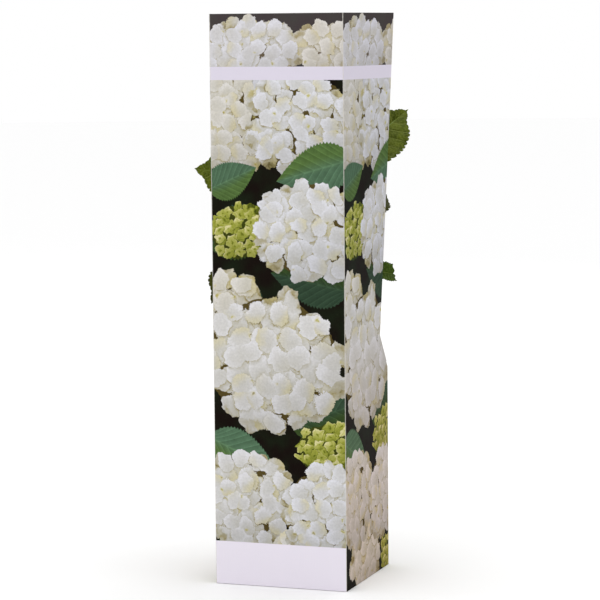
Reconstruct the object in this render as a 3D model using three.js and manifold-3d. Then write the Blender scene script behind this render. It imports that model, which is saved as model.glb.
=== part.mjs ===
// A young hydrangea in its nursery pot, packed in a tall printed display carton that is open
// at the top and, above the pot, at the back. Millimetres, +Z up. The origin is the middle of
// the carton's underside; the front panel faces -Y, and +X is to its right.
import * as THREE from "three";
import { mergeVertices } from "three/addons/utils/BufferGeometryUtils.js";
import Module from "manifold-3d";

const wasm = await Module();
wasm.setup();

// ---- driving dimensions ----------------------------------------------------------------

const GAP = 0.3; // clearance between pieces that touch

const CARTON = {
  width: 150,
  depth: 150,
  height: 615,
  board: 1.5,
  rearWall: 224, // height of the rear wall, and of the full-depth side walls
  notchTop: 262, // where the side panels have narrowed to their flaps
  flapDepth: 120, // from the front crease to a flap's free edge
  rightSplay: 8.5, // degrees that the right flap stands open at its top
  leftSplay: 18.5, // degrees that the left flap stands open
  leftSplayRun: 178, // height over which the left flap opens
};
const HALF = CARTON.width / 2;

const POT = { height: 125, baseRadius: 51, rimRadius: 70, rimHeight: 12, lip: 3.5, wall: 1.5, sides: 32 };
const POT_FLOOR = 2 * CARTON.board + GAP;
const SOIL = { top: POT_FLOOR + POT.height - 13, sides: 32 };

// The crown's cells: each leafy shoot keeps inside its own. `side` is -1 left, +1 right, `foot`
// and `tip` are the places across the carton where the shoot enters its cell and ends.
const CELLS = [
  { name: "left_low", side: -1, low: 196, high: 344, foot: [30, 16], tip: [36, 36], turn: 62 },
  { name: "right_low", side: 1, low: 196, high: 300, foot: [30, 20], tip: [34, 38], turn: 118 },
  { name: "left_middle", side: -1, low: 346, high: 478, foot: [40, 4], tip: [36, 26], turn: 100 },
  { name: "right_middle", side: 1, low: 302, high: 430, foot: [38, 2], tip: [36, 28], turn: 80 },
  { name: "left_top", side: -1, low: 480, high: 602, foot: [24, -30], tip: [26, 2], turn: 70 },
  { name: "right_top", side: 1, low: 432, high: 574, foot: [34, -4], tip: [30, 14], turn: 112 },
];
// How far the leaves spread that don't reach out: sideways, less `narrowing` for each millimetre
// of distance behind the canes, and to the back; `seam` is the space along the middle.
const CROWN = { reach: 98, narrowing: 0.4, reachBack: 112, seam: 1 };

const CANE = {
  ringRadius: 17, // of the ring that the canes rise from
  turn: 57, // degrees round the ring from one cane to the next
  footRadius: 4.2,
  tipRadius: 1.5,
  flare: 1.45,
  flareHeight: 14,
  sides: 8,
  steps: 12,
  spots: 120, // that leaves are kept clear of
};
const SHOOT = { pairs: 5, sides: 6, steps: 6, headroom: 34, scatter: 16, seed: 20 };
const LEAF = {
  length: 98,
  youngest: 0.42, // the last pair's length against the largest
  slenderness: 0.64, // width against length
  outline: { foot: 0.6, tip: 0.85 }, // how bluntly a blade starts and ends
  thickness: 1.15,
  petiole: 24,
  petioleRadius: 1.3,
  sunk: 3, // how far a stalk runs into its blade
  rise: 38, // degrees above level at which a leaf leaves its stem
  droop: 62, // degrees that a blade bends over from its foot to its tip
  fold: 14, // degrees that each half stands up from the midrib
  along: 6,
  tests: 14,
  across: [-1, -0.67, -0.33, 0, 0.33, 0.67, 1],
  crowded: 21, // test points near the foot that may lie close to other leaves
  spacing: 7,
};
const SETTLE = {
  sizes: [1, 0.84, 0.68, 0.54],
  raises: [0, 16, 32],
  turns: [0, 18, -18, 36, -36, 54, -54],
};
const CLEARANCE = 2.2; // between a leaf and any limb or board

// Leaves that reach out past the flaps: the shoot each grows from, where along it (0 foot to
// 1 tip), its directions in degrees, its sizes, and how much is left of the one that is torn.
const REACHING = [
  { cell: "right_top", at: 0.03, around: 63, rise: 30, roll: 48, droop: 5, length: 109, petiole: 38 },
  { cell: "right_middle", at: 0.95, around: 74, rise: 16, roll: 42, droop: 10, length: 73, petiole: 26 },
  { cell: "right_middle", at: 0.39, around: 46, rise: -9, roll: 54, droop: 5, length: 50, petiole: 44,
    slenderness: 0.5, kept: 0.62 },
  { cell: "left_middle", at: 0.95, around: 150, rise: -3, roll: -70, droop: -33, length: 92, petiole: 26 },
  { cell: "left_low", at: 0.95, around: 142, rise: 16, roll: 19, droop: 70, length: 100, petiole: 36 },
];

// ---- small tools -----------------------------------------------------------------------

const DEG = Math.PI / 180;
const clamp01 = (x) => Math.min(1, Math.max(0, x));
const smooth = (x) => clamp01(x) ** 2 * (3 - 2 * clamp01(x));
const vec = (x, y, z) => new THREE.Vector3(x, y, z);

// A repeatable draw of numbers from 0 to 1.
function draws(seed) {
  let state = seed;
  return () => {
    state = (state * 16807) % 2147483647;
    return state / 2147483647;
  };
}

// The geometry with every vertex moved by `place`, and only positions kept.
function reshaped(geometry, place) {
  const points = geometry.getAttribute("position");
  const point = vec(0, 0, 0);
  for (let i = 0; i < points.count; i++) {
    point.fromBufferAttribute(points, i);
    const moved = place(point);
    points.setXYZ(i, moved.x, moved.y, moved.z);
  }
  geometry.deleteAttribute("normal");
  geometry.deleteAttribute("uv");
  return mergeVertices(geometry, 1e-4);
}

function solidOf(geometry) {
  return new wasm.Manifold(
    new wasm.Mesh({
      numProp: 3,
      vertProperties: new Float32Array(geometry.getAttribute("position").array),
      triVerts: new Uint32Array(geometry.index.array),
    }),
  );
}

function geometryOf(solid) {
  const { vertProperties, triVerts } = solid.getMesh();
  return new THREE.BufferGeometry()
    .setAttribute("position", new THREE.BufferAttribute(vertProperties, 3))
    .setIndex(new THREE.BufferAttribute(triVerts, 1));
}

const material = (color, roughness) => new THREE.MeshStandardMaterial({ color, roughness, metalness: 0 });
const FINISH = {
  print: material(0xd9d6d4, 0.45),
  board: material(0xb09a80, 0.9),
  pot: material(0x2b2a29, 0.6),
  soil: material(0x3a2a20, 0.95),
  cane: material(0x7d6a4c, 0.85),
  leaf: material(0x5c7a22, 0.55),
};

const plant = new THREE.Group();

function add(name, geometry, finish) {
  geometry.computeVertexNormals();
  const mesh = new THREE.Mesh(geometry, finish);
  mesh.name = name;
  plant.add(mesh);
}

// ---- carton ----------------------------------------------------------------------------

// Degrees that a side panel stands open at a height; side is -1 left, +1 right.
function splay(side, z) {
  const above = z - CARTON.notchTop;
  if (side < 0) return CARTON.leftSplay * smooth(above / CARTON.leftSplayRun);
  return CARTON.rightSplay * clamp01(above / (CARTON.height - CARTON.notchTop));
}

// Distance from the front crease to a side panel's rear edge at a height.
function panelDepth(z) {
  const full = CARTON.depth - CARTON.board - GAP;
  const narrowing = clamp01((z - CARTON.rearWall) / (CARTON.notchTop - CARTON.rearWall));
  return full + (CARTON.flapDepth - full) * narrowing;
}

function board(width, depth, height, x, y, z) {
  const box = new THREE.BoxGeometry(width, depth, height);
  box.translate(x, y, z + height / 2);
  return box;
}

// A side panel: the board's slab, swung out round the front crease by its splay.
function sidePanel(side) {
  const levels = [0, CARTON.rearWall];
  const rows = 22;
  for (let i = 0; i <= rows; i++)
    levels.push(CARTON.notchTop + ((CARTON.height - CARTON.notchTop) * i) / rows);
  const slab = new THREE.BoxGeometry(1, 1, 1, 1, 4, levels.length - 1);
  const start = CARTON.board + GAP + 0.1;
  return reshaped(slab, (p) => {
    const z = levels[Math.round((p.z + 0.5) * (levels.length - 1))];
    const along = start + (panelDepth(z) - start) * (p.y + 0.5);
    const open = splay(side, z) * DEG;
    const inset = (side * p.x + 0.5 - 1) * CARTON.board; // 0 on the outer face
    const x = HALF + along * Math.sin(open) + inset * Math.cos(open);
    return vec(side * x, -HALF + along * Math.cos(open) - inset * Math.sin(open), z);
  });
}

function buildCarton() {
  const { width, depth, height, board: thick, rearWall } = CARTON;
  const inner = width - 2 * (thick + GAP);
  add("carton_front_panel", board(width, thick, height, 0, -HALF + thick / 2, 0), FINISH.print);
  add("carton_left_panel", sidePanel(-1), FINISH.print);
  add("carton_right_panel", sidePanel(1), FINISH.print);
  add("carton_rear_wall", board(width, thick, rearWall, 0, depth / 2 - thick / 2, 0), FINISH.print);
  add("carton_base_flaps", board(inner, inner, 2 * thick, 0, 0, 0), FINISH.board);
}

// ---- pot and compost -------------------------------------------------------------------

const potRadius = (z) => POT.baseRadius + (POT.rimRadius - POT.lip - POT.baseRadius) * (z / POT.height);

function turned(profile, sides) {
  const lathe = new THREE.LatheGeometry(profile.map(([r, z]) => new THREE.Vector2(r, z)), sides);
  return reshaped(lathe, (p) => vec(p.x, -p.z, p.y));
}

function buildPot() {
  const { height, rimRadius, rimHeight, wall } = POT;
  const floor = POT_FLOOR;
  const underRim = height - rimHeight;
  const soilDepth = SOIL.top - floor;
  const profile = [
    [0, floor],
    [potRadius(0) - 2, floor],
    [potRadius(0), floor + 3],
    [potRadius(underRim), floor + underRim],
    [rimRadius - 0.6, floor + underRim],
    [rimRadius, floor + height - 1],
    [rimRadius - 1, floor + height],
    [rimRadius - 2.2, floor + height - 0.5],
    [potRadius(underRim) - wall + 1, floor + underRim - 2],
    [potRadius(3) - wall, floor + 3],
    [0, floor + wall + 0.5],
  ];
  add("nursery_pot", turned(profile, POT.sides), FINISH.pot);
  const insideAt = (z) => potRadius(z) - wall - 1.2;
  const filling = [
    [0, floor + wall + 1.2],
    [insideAt(4), floor + 4.5],
    [insideAt(soilDepth - 3), SOIL.top - 3],
    [insideAt(soilDepth - 3) - 2, SOIL.top],
    [0, SOIL.top],
  ];
  add("compost", turned(filling, SOIL.sides), FINISH.soil);
}

// ---- limbs -----------------------------------------------------------------------------

// The line of one cane from the compost up into the leafy shoot that it becomes.
function limbLine(cell, index) {
  const round = CANE.turn * index * DEG;
  const start = vec(
    cell.side * CANE.ringRadius * (0.6 + 0.4 * Math.cos(round)),
    CANE.ringRadius * Math.sin(round),
    SOIL.top + GAP,
  );
  const end = vec(cell.side * cell.tip[0], cell.tip[1], cell.high - SHOOT.headroom);
  const rise = end.z - start.z;
  const lower = vec(start.x * 1.4, start.y * 1.2, start.z + rise * 0.3);
  const upper = vec(cell.side * cell.foot[0], cell.foot[1], start.z + rise * 0.7);
  return new THREE.CubicBezierCurve3(start, lower, upper, end);
}

// How far along a rising line a height is reached.
function shareAtHeight(line, z) {
  let low = 0;
  let high = 1;
  for (let i = 0; i < 30; i++) {
    const middle = (low + high) / 2;
    if (line.getPoint(middle).z < z) low = middle;
    else high = middle;
  }
  return low;
}

// A cane's radius, thickest in the flare at its foot.
function limbRadius(share, height) {
  const taper = CANE.footRadius + (CANE.tipRadius - CANE.footRadius) * share;
  return taper * (1 + (CANE.flare - 1) * (1 - smooth(height / CANE.flareHeight)));
}

// A closed round tube about part of a line, its foot cut level where `levelFoot` is set.
function tube(line, from, to, radiusAt, sides, steps, levelFoot = false) {
  const cylinder = new THREE.CylinderGeometry(1, 1, 1, sides, steps);
  return reshaped(cylinder, (p) => {
    const share = from + (to - from) * (p.y + 0.5);
    const ahead = levelFoot && p.y < -0.49 ? vec(0, 0, 1) : line.getTangent(share);
    const across = vec(0, 1, 0).cross(ahead).normalize();
    const over = ahead.clone().cross(across);
    const radius = radiusAt(share);
    return line
      .getPoint(share)
      .addScaledVector(over, p.x * radius)
      .addScaledVector(across, p.z * radius);
  });
}

function buildLimbs() {
  return CELLS.map((cell, index) => {
    const line = limbLine(cell, index);
    const radiusAt = (share) => limbRadius(share, line.getPoint(share).z - SOIL.top);
    const split = shareAtHeight(line, cell.low);
    const restart = split + GAP / line.getLength();
    add(
      `cane_${cell.name}`,
      tube(line, 0, split, radiusAt, CANE.sides, CANE.steps, true),
      FINISH.cane,
    );
    const spots = line.getPoints(CANE.spots).filter((p) => p.z < cell.low + CLEARANCE);
    return { cell, line, radiusAt, restart, spots };
  });
}

// ---- leaves ----------------------------------------------------------------------------

// Half a blade's width at a share of its length, as a share of its full width.
function bladeHalf(u) {
  const { foot, tip } = LEAF.outline;
  const widest = foot / (foot + tip);
  return (0.5 * u ** foot * (1 - u) ** tip) / (widest ** foot * (1 - widest) ** tip);
}

// A leaf on its stalk, from a root on the stem; `around`, `rise`, `droop` and `roll` are in
// degrees, and `kept` is the share of a torn blade that is left.
function leafOn(root, wish) {
  const { around, rise, length, droop, roll = 0, kept = 1, slenderness = LEAF.slenderness } = wish;
  const { petiole = LEAF.petiole * length / LEAF.length } = wish;
  const turn = around * DEG;
  const lift = rise * DEG;
  const ahead = vec(Math.cos(turn) * Math.cos(lift), Math.sin(turn) * Math.cos(lift), Math.sin(lift));
  const up = vec(-Math.cos(turn) * Math.sin(lift), -Math.sin(turn) * Math.sin(lift), Math.cos(lift));
  up.applyAxisAngle(ahead, roll * DEG);
  const across = ahead.clone().cross(up);
  const foot = root.clone().addScaledVector(ahead, petiole);
  return { root, foot, ahead, up, across, length, width: length * slenderness, droop: droop * DEG, kept };
}

// A point of a blade: share from foot to end, v from edge to edge, s from under to upper face.
function bladePoint(leaf, share, v, s = 0) {
  const u = share * leaf.kept;
  const bend = leaf.droop * u;
  const ahead = (leaf.length * Math.sin(bend)) / leaf.droop;
  const down = (leaf.length * (1 - Math.cos(bend))) / leaf.droop;
  const half = Math.max(LEAF.petioleRadius, leaf.width * bladeHalf(u));
  const lift = Math.abs(v) * half * Math.sin(LEAF.fold * DEG) + s * LEAF.thickness;
  return leaf.foot
    .clone()
    .addScaledVector(leaf.ahead, ahead + lift * Math.sin(bend))
    .addScaledVector(leaf.up, lift * Math.cos(bend) - down)
    .addScaledVector(leaf.across, v * half * Math.cos(LEAF.fold * DEG));
}

function leafSolid(leaf) {
  const slab = new THREE.BoxGeometry(2, LEAF.along, 1, 2, LEAF.along, 1);
  const blade = reshaped(slab, (p) => bladePoint(leaf, p.y / LEAF.along + 0.5, p.x, p.z));
  const sunk = leaf.foot.clone().addScaledVector(leaf.ahead, LEAF.sunk);
  const stalk = new THREE.LineCurve3(leaf.root, sunk);
  return solidOf(blade).add(solidOf(tube(stalk, 0, 1, () => LEAF.petioleRadius, 4, 1)));
}

// The points of a blade that its clearances are tested at, from foot to tip.
function testPoints(leaf) {
  const points = [];
  for (let i = 0; i <= LEAF.tests; i++)
    for (const v of LEAF.across) points.push(bladePoint(leaf, i / LEAF.tests, v));
  return points;
}

// ---- clearances ------------------------------------------------------------------------

function insideCell(cell, p) {
  const x = cell.side * p.x;
  if (x < CROWN.seam || x > CROWN.reach - CROWN.narrowing * p.y) return false;
  return p.y < CROWN.reachBack && p.z > cell.low && p.z < cell.high;
}

// Whether a point is clear of the carton: well inside its boards, or behind the flaps' edges.
function clearOfBoards(p) {
  if (p.y < -HALF + CARTON.board + CLEARANCE) return false;
  if (p.z < CARTON.rearWall + CLEARANCE && p.y > HALF - CARTON.board - CLEARANCE) return false;
  const side = p.x < 0 ? -1 : 1;
  const open = splay(side, p.z) * DEG;
  const out = side * p.x - HALF;
  const back = p.y + HALF;
  const along = out * Math.sin(open) + back * Math.cos(open);
  const beyond = out * Math.cos(open) - back * Math.sin(open);
  return along > panelDepth(p.z) + CLEARANCE || beyond < -CARTON.board - CLEARANCE;
}

// Points along a leaf's stalk.
const stalkPoints = (leaf) => [0.3, 0.5, 0.7, 0.9].map((share) => leaf.root.clone().lerp(leaf.foot, share));

const apart = (points, others, distance) =>
  points.every((p) => others.every((q) => p.distanceTo(q) > distance));

// Whether a leaf keeps to its cell, clear of boards, of the canes that pass, and of the
// shoot's other leaves, whose feet may crowd.
function fits(leaf, cell, placed, canes) {
  const blade = testPoints(leaf);
  const whole = [...stalkPoints(leaf), ...blade];
  if (!whole.every((p) => insideCell(cell, p) && clearOfBoards(p))) return false;
  if (!apart(whole, canes, CANE.footRadius + CLEARANCE)) return false;
  const outer = blade.slice(LEAF.crowded);
  return placed.every((other) => apart(outer, other, LEAF.spacing));
}

// ---- leafy shoots ----------------------------------------------------------------------

// The leaf nearest to the one wished for that fits, or null: it is turned round the stem,
// raised and shortened in small steps.
function settle(root, wish, cell, placed, canes) {
  for (const size of SETTLE.sizes)
    for (const raise of SETTLE.raises)
      for (const turn of SETTLE.turns) {
        const leaf = leafOn(root, {
          ...wish,
          around: wish.around + turn,
          rise: wish.rise + raise,
          length: wish.length * size,
        });
        if (fits(leaf, cell, placed, canes)) return leaf;
      }
  return null;
}

// The leaves of one shoot: those that reach out, then opposite pairs, each pair turned a
// quarter from the last, then a bud of young leaves at the tip.
function shootLeaves(limb, canes, draw) {
  const { cell, line, restart } = limb;
  const rootAt = (at) => line.getPoint(restart + (1 - restart) * at);
  const leaves = [];
  const placed = [];
  const place = (leaf) => {
    leaves.push(leaf);
    placed.push(testPoints(leaf).slice(LEAF.crowded));
  };
  for (const wish of REACHING.filter((one) => one.cell === cell.name))
    place(leafOn(rootAt(wish.at), wish));
  for (let pair = 0; pair < SHOOT.pairs; pair++) {
    const share = pair / (SHOOT.pairs - 1);
    const length = LEAF.length * (1 + (LEAF.youngest - 1) * share ** 1.6);
    for (const half of [0, 180]) {
      const wish = {
        around: cell.turn + 90 * pair + half + SHOOT.scatter * (draw() - 0.5),
        rise: LEAF.rise + SHOOT.scatter * (draw() - 0.5) + 22 * share,
        length: length * (1 - 0.2 * draw()),
        droop: LEAF.droop * (0.7 + 0.5 * draw()),
      };
      const leaf = settle(rootAt(0.06 + 0.9 * share), wish, cell, placed, canes);
      if (leaf) place(leaf);
    }
  }
  return leaves;
}

function buildShoots(limbs) {
  const draw = draws(SHOOT.seed);
  for (const limb of limbs) {
    const canes = limbs.filter((other) => other !== limb).flatMap((other) => other.spots);
    const leaves = shootLeaves(limb, canes, draw);
    const { line, restart, radiusAt, cell } = limb;
    let mass = solidOf(tube(line, restart, 1, radiusAt, SHOOT.sides, SHOOT.steps));
    for (const leaf of leaves) mass = mass.add(leafSolid(leaf));
    const [whole] = mass.decompose().sort((a, b) => b.volume() - a.volume());
    add(`foliage_${cell.name}`, geometryOf(whole), FINISH.leaf);
  }
}

buildCarton();
buildPot();
buildShoots(buildLimbs());

export default plant;
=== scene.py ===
"""Dresses the boxed potted hydrangea: its printed carton, pot, compost, canes and leaves.

Lengths are in millimetres, as on a maker's drawing, and become metres when a piece is made.
"""

import logging
import math
from collections.abc import Sequence
from dataclasses import dataclass, field, replace
from enum import Enum, IntEnum

import bmesh
import bpy
import numpy as np
from mathutils import Matrix, Vector, noise


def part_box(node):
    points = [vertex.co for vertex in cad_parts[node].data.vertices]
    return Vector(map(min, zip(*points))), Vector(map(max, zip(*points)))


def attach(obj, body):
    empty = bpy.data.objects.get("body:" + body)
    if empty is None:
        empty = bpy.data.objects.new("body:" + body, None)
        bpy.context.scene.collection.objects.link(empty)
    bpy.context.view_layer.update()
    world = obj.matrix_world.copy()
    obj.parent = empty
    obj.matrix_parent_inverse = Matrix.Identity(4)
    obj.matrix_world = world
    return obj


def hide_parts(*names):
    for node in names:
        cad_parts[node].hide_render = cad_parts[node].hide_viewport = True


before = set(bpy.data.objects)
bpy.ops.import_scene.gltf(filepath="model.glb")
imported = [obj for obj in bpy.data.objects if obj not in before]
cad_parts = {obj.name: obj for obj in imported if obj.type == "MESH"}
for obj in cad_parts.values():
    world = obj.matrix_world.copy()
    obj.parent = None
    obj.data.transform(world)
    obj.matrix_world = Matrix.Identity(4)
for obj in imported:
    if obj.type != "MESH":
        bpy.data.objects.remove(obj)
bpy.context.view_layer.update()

MM = 0.001
FLUTE = 3.2  # from one wave of the board's fluting to the next
LOG = logging.getLogger("hydrangea")
Colour = tuple[float, float, float]
Point = tuple[float, float, float]
Stops = tuple[tuple[float, Colour], ...]
Array = np.ndarray
Shape = bmesh.types.BMesh
Material = bpy.types.Material
Piece = bpy.types.Object
Node = bpy.types.Node


# ---- small tools


def linear(red: int, green: int, blue: int) -> Colour:
    """Turns a colour as a screen shows it, 0 to 255, into the light it stands for.

    Args:
        red, green, blue: The screen values.

    Returns:
        The three linear values, 0 to 1.
    """
    shares = (value / 255 for value in (red, green, blue))
    return tuple(s / 12.92 if s <= 0.04045 else ((s + 0.055) / 1.055) ** 2.4 for s in shares)


def smooth(value: float | Array) -> float | Array:
    """Eases 0 to 1, flat at both ends."""
    held = np.clip(value, 0.0, 1.0)
    return held * held * (3 - 2 * held)


class Draws:
    """A repeatable draw of numbers from 0 to 1."""

    MULTIPLIER = 16807
    MODULUS = 2147483647

    def __init__(self, seed: int) -> None:
        """Starts the draw from a whole number."""
        self.state = seed

    def __call__(self) -> float:
        """Draws the next number."""
        self.state = self.state * self.MULTIPLIER % self.MODULUS
        return self.state / self.MODULUS

    def between(self, low: float, high: float) -> float:
        """Draws a number from low to high."""
        return low + (high - low) * self()


def pointing(turn: float, lift: float) -> Array:
    """Gives the unit vector that points round by one angle and up by another."""
    return np.array((math.cos(turn) * math.cos(lift), math.sin(turn) * math.cos(lift), math.sin(lift)))


def spun(profile: Sequence[tuple[float, float]], steps: int) -> Shape:
    """Turns a profile round the Z axis into a closed shape.

    Args:
        profile: Radius and height of each corner; it starts and ends on the axis.
        steps: How many sides the turned shape has.

    Returns:
        The turned shape.
    """
    bm = bmesh.new()
    corners = [bm.verts.new((radius, 0, height)) for radius, height in profile]
    edges = [bm.edges.new(pair) for pair in zip(corners, corners[1:])]
    bmesh.ops.spin(
        bm,
        geom=corners + edges,
        axis=(0, 0, 1),
        cent=(0, 0, 0),
        angle=math.tau,
        steps=steps,
        use_merge=True,
    )
    bmesh.ops.remove_doubles(bm, verts=bm.verts, dist=1e-4)
    bmesh.ops.recalc_face_normals(bm, faces=bm.faces)
    return bm


def mark_sharp(bm: Shape, degrees: float) -> None:
    """Keeps the edges sharp that turn by more than an angle, and smooths the faces.

    Args:
        bm: The shape.
        degrees: The angle.
    """
    for face in bm.faces:
        face.smooth = True
    for edge in bm.edges:
        edge.smooth = edge.calc_face_angle(0) < math.radians(degrees)


def add_shape(into: Shape, shape: Shape) -> None:
    """Moves a shape into another and frees it.

    Args:
        into: The shape that grows.
        shape: The shape that is used up.
    """
    mesh = bpy.data.meshes.new("part")
    shape.to_mesh(mesh)
    shape.free()
    into.from_mesh(mesh)
    bpy.data.meshes.remove(mesh)


def add_object(name: str, data: bpy.types.ID) -> Piece:
    """Adds an object to the scene.

    Args:
        name: Its name.
        data: Its mesh, light or camera.

    Returns:
        The object.
    """
    made = bpy.data.objects.new(name, data)
    bpy.context.scene.collection.objects.link(made)
    return made


def make_piece(
    bm: Shape,
    name: str,
    finishes: Sequence[Material],
    stands_for: Sequence[str] = (),
) -> Piece:
    """Makes a piece of the object from a shape in millimetres.

    Args:
        bm: The shape, which is used up.
        name: The piece's name.
        finishes: Its materials, in the order of its faces' material numbers.
        stands_for: The nodes that it is shown in place of.

    Returns:
        The piece.
    """
    bmesh.ops.scale(bm, vec=(MM, MM, MM), verts=bm.verts)
    mesh = bpy.data.meshes.new(name)
    bm.to_mesh(mesh)
    bm.free()
    for finish in finishes:
        mesh.materials.append(finish)
    piece = add_object(name, mesh)
    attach(piece, "root")
    if stands_for:
        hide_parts(*stands_for)
    LOG.info("%s: %d faces", name, len(mesh.polygons))
    return piece


# ---- shader formulas


class Wire:
    """A socket's value that a formula can reckon with."""

    def __init__(self, graph: "Graph", socket: bpy.types.NodeSocket) -> None:
        """Holds a socket and the graph that it is in."""
        self.graph = graph
        self.socket = socket

    def __add__(self, other: "Wire | float") -> "Wire":
        """Adds."""
        return self.graph.math("ADD", self, other)

    def __sub__(self, other: "Wire | float") -> "Wire":
        """Takes away."""
        return self.graph.math("SUBTRACT", self, other)

    def __rsub__(self, other: float) -> "Wire":
        """Takes this away from a number."""
        return self.graph.math("SUBTRACT", other, self)

    def __mul__(self, other: "Wire | float") -> "Wire":
        """Multiplies."""
        return self.graph.math("MULTIPLY", self, other)

    def __truediv__(self, other: "Wire | float") -> "Wire":
        """Divides."""
        return self.graph.math("DIVIDE", self, other)

    def __abs__(self) -> "Wire":
        """Drops the sign."""
        return self.graph.math("ABSOLUTE", self)

    __radd__ = __add__
    __rmul__ = __mul__


class Graph:
    """Wires up one material's nodes."""

    def __init__(self, name: str) -> None:
        """Makes the material and clears its nodes.

        Args:
            name: The material's name.
        """
        self.material = bpy.data.materials.new(name)
        self.material.use_nodes = True
        self.tree = self.material.node_tree
        self.tree.nodes.clear()

    def node(self, kind: str, inputs: dict[str | int, object] | None = None, **settings) -> Node:
        """Adds a node.

        Args:
            kind: The node's type name.
            inputs: Values or wires for its inputs.
            **settings: Its own settings.

        Returns:
            The node.
        """
        made = self.tree.nodes.new(kind)
        for name, value in settings.items():
            setattr(made, name, value)
        for name, value in (inputs or {}).items():
            self.feed(made.inputs[name], value)
        return made

    def feed(self, socket: bpy.types.NodeSocket, value: object) -> None:
        """Gives an input its wire or its fixed value.

        Args:
            socket: The input.
            value: A wire, a number, a vector or a colour.
        """
        if isinstance(value, Wire):
            self.tree.links.new(value.socket, socket)
        elif socket.type == "RGBA":
            socket.default_value = (*value, 1.0)
        else:
            socket.default_value = value

    def math(self, operation: str, *values: Wire | float) -> Wire:
        """Reckons with numbers."""
        made = self.node("ShaderNodeMath", dict(enumerate(values)), operation=operation)
        return Wire(self, made.outputs[0])

    def vector(self, operation: str, *values: Wire | Point) -> Wire:
        """Reckons with vectors, and gives a number for a length or a dot product.

        Args:
            operation: What to reckon.
            *values: What to reckon with.

        Returns:
            The result.
        """
        made = self.node("ShaderNodeVectorMath", dict(enumerate(values)), operation=operation)
        number = operation in ("LENGTH", "DOT_PRODUCT")
        return Wire(self, made.outputs["Value" if number else "Vector"])

    def join(self, x: Wire | float, y: Wire | float, z: Wire | float = 0.0) -> Wire:
        """Makes a vector of three numbers."""
        return Wire(self, self.node("ShaderNodeCombineXYZ", {0: x, 1: y, 2: z}).outputs[0])

    def parts(self, vector: Wire) -> tuple[Wire, Wire, Wire]:
        """Takes a vector apart."""
        made = self.node("ShaderNodeSeparateXYZ", {0: vector})
        return tuple(Wire(self, socket) for socket in made.outputs)

    def tint(self, red: Wire | float, green: Wire | float, blue: Wire | float) -> Wire:
        """Makes a colour of three numbers."""
        return Wire(self, self.node("ShaderNodeCombineColor", {0: red, 1: green, 2: blue}).outputs[0])

    def shares(self, colour: Wire) -> tuple[Wire, Wire, Wire]:
        """Takes a colour apart."""
        made = self.node("ShaderNodeSeparateColor", {0: colour})
        return tuple(Wire(self, socket) for socket in made.outputs)

    def ease(self, value: Wire, start: float | Wire, end: float | Wire) -> Wire:
        """Eases from 0 at start to 1 at end.

        Args:
            value: What is eased.
            start: Where it is still 0.
            end: Where it is 1.

        Returns:
            The eased share.
        """
        made = self.node(
            "ShaderNodeMapRange",
            {"Value": value, "From Min": start, "From Max": end},
            interpolation_type="SMOOTHSTEP",
        )
        return Wire(self, made.outputs[0])

    def paint(
        self, share: Wire | float, under: Wire | Colour, over: Wire | Colour, mode: str = "MIX"
    ) -> Wire:
        """Lays a colour over another.

        Args:
            share: How much of it covers, 0 to 1.
            under: The colour below.
            over: The colour laid on.
            mode: How the two mix.

        Returns:
            The colour that shows.
        """
        made = self.node("ShaderNodeMix", data_type="RGBA", blend_type=mode)
        self.feed(made.inputs[0], share)
        self.feed(made.inputs[6], under)
        self.feed(made.inputs[7], over)
        return Wire(self, made.outputs[2])

    def noise(self, place: Wire, size: float, detail: float = 3.0, roughness: float = 0.55) -> Wire:
        """Gives cloudy noise of about 0 to 1 with lumps of a size.

        Args:
            place: Where to look.
            size: How wide the lumps are.
            detail: How many finer layers it has.
            roughness: How strong those are.

        Returns:
            The noise.
        """
        made = self.node(
            "ShaderNodeTexNoise",
            {"Vector": place, "Scale": 1 / size, "Detail": detail, "Roughness": roughness},
        )
        return Wire(self, made.outputs[0])

    def sway(self, place: Wire, size: float, detail: float, reach: float) -> Wire:
        """Gives a flat vector that wanders by up to about half a reach each way.

        Args:
            place: Where to look.
            size: How wide its waves are.
            detail: How many finer layers it has.
            reach: How far it goes.

        Returns:
            The vector.
        """
        made = self.node("ShaderNodeTexNoise", {"Vector": place, "Scale": 1 / size, "Detail": detail})
        red, green, _ = self.shares(Wire(self, made.outputs["Color"]))
        return self.join((red - 0.5) * reach, (green - 0.5) * reach)

    def ramp(self, value: Wire, stops: Stops) -> Wire:
        """Looks a value up in a row of colours.

        Args:
            value: What is looked up.
            stops: Each stop's value and colour.

        Returns:
            The colour.
        """
        made = self.node("ShaderNodeValToRGB", {0: value})
        row = made.color_ramp.elements
        while len(row) < len(stops):
            row.new(1.0)
        for element, (at, _) in zip(row, stops):
            element.position = at
        for element, (_, colour) in zip(row, stops):
            element.color = (*colour, 1.0)
        return Wire(self, made.outputs[0])

    def cells(
        self, place: Wire, size: float, randomness: float, flat: bool = False
    ) -> tuple[Wire, Wire, Wire]:
        """Scatters cells of a size.

        Args:
            place: Where to look.
            size: About how wide a cell is.
            randomness: How far the cells stray from a grid, 0 to 1.
            flat: Whether the cells lie in the XY plane.

        Returns:
            The distance to the nearest cell's middle, its random colour and its place.
        """
        made = self.node(
            "ShaderNodeTexVoronoi",
            {"Vector": place, "Scale": 1 / size, "Randomness": randomness},
            voronoi_dimensions="2D" if flat else "3D",
        )
        return tuple(Wire(self, made.outputs[name]) for name in ("Distance", "Color", "Position"))

    def attribute(self, name: str) -> Wire:
        """Reads a vector attribute of the piece."""
        return Wire(self, self.node("ShaderNodeAttribute", attribute_name=name).outputs["Vector"])

    def object_place(self) -> Wire:
        """Reads the place on the object, in millimetres."""
        place = Wire(self, self.node("ShaderNodeTexCoord").outputs["Object"])
        return self.vector("MULTIPLY", place, (1 / MM, 1 / MM, 1 / MM))

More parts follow.
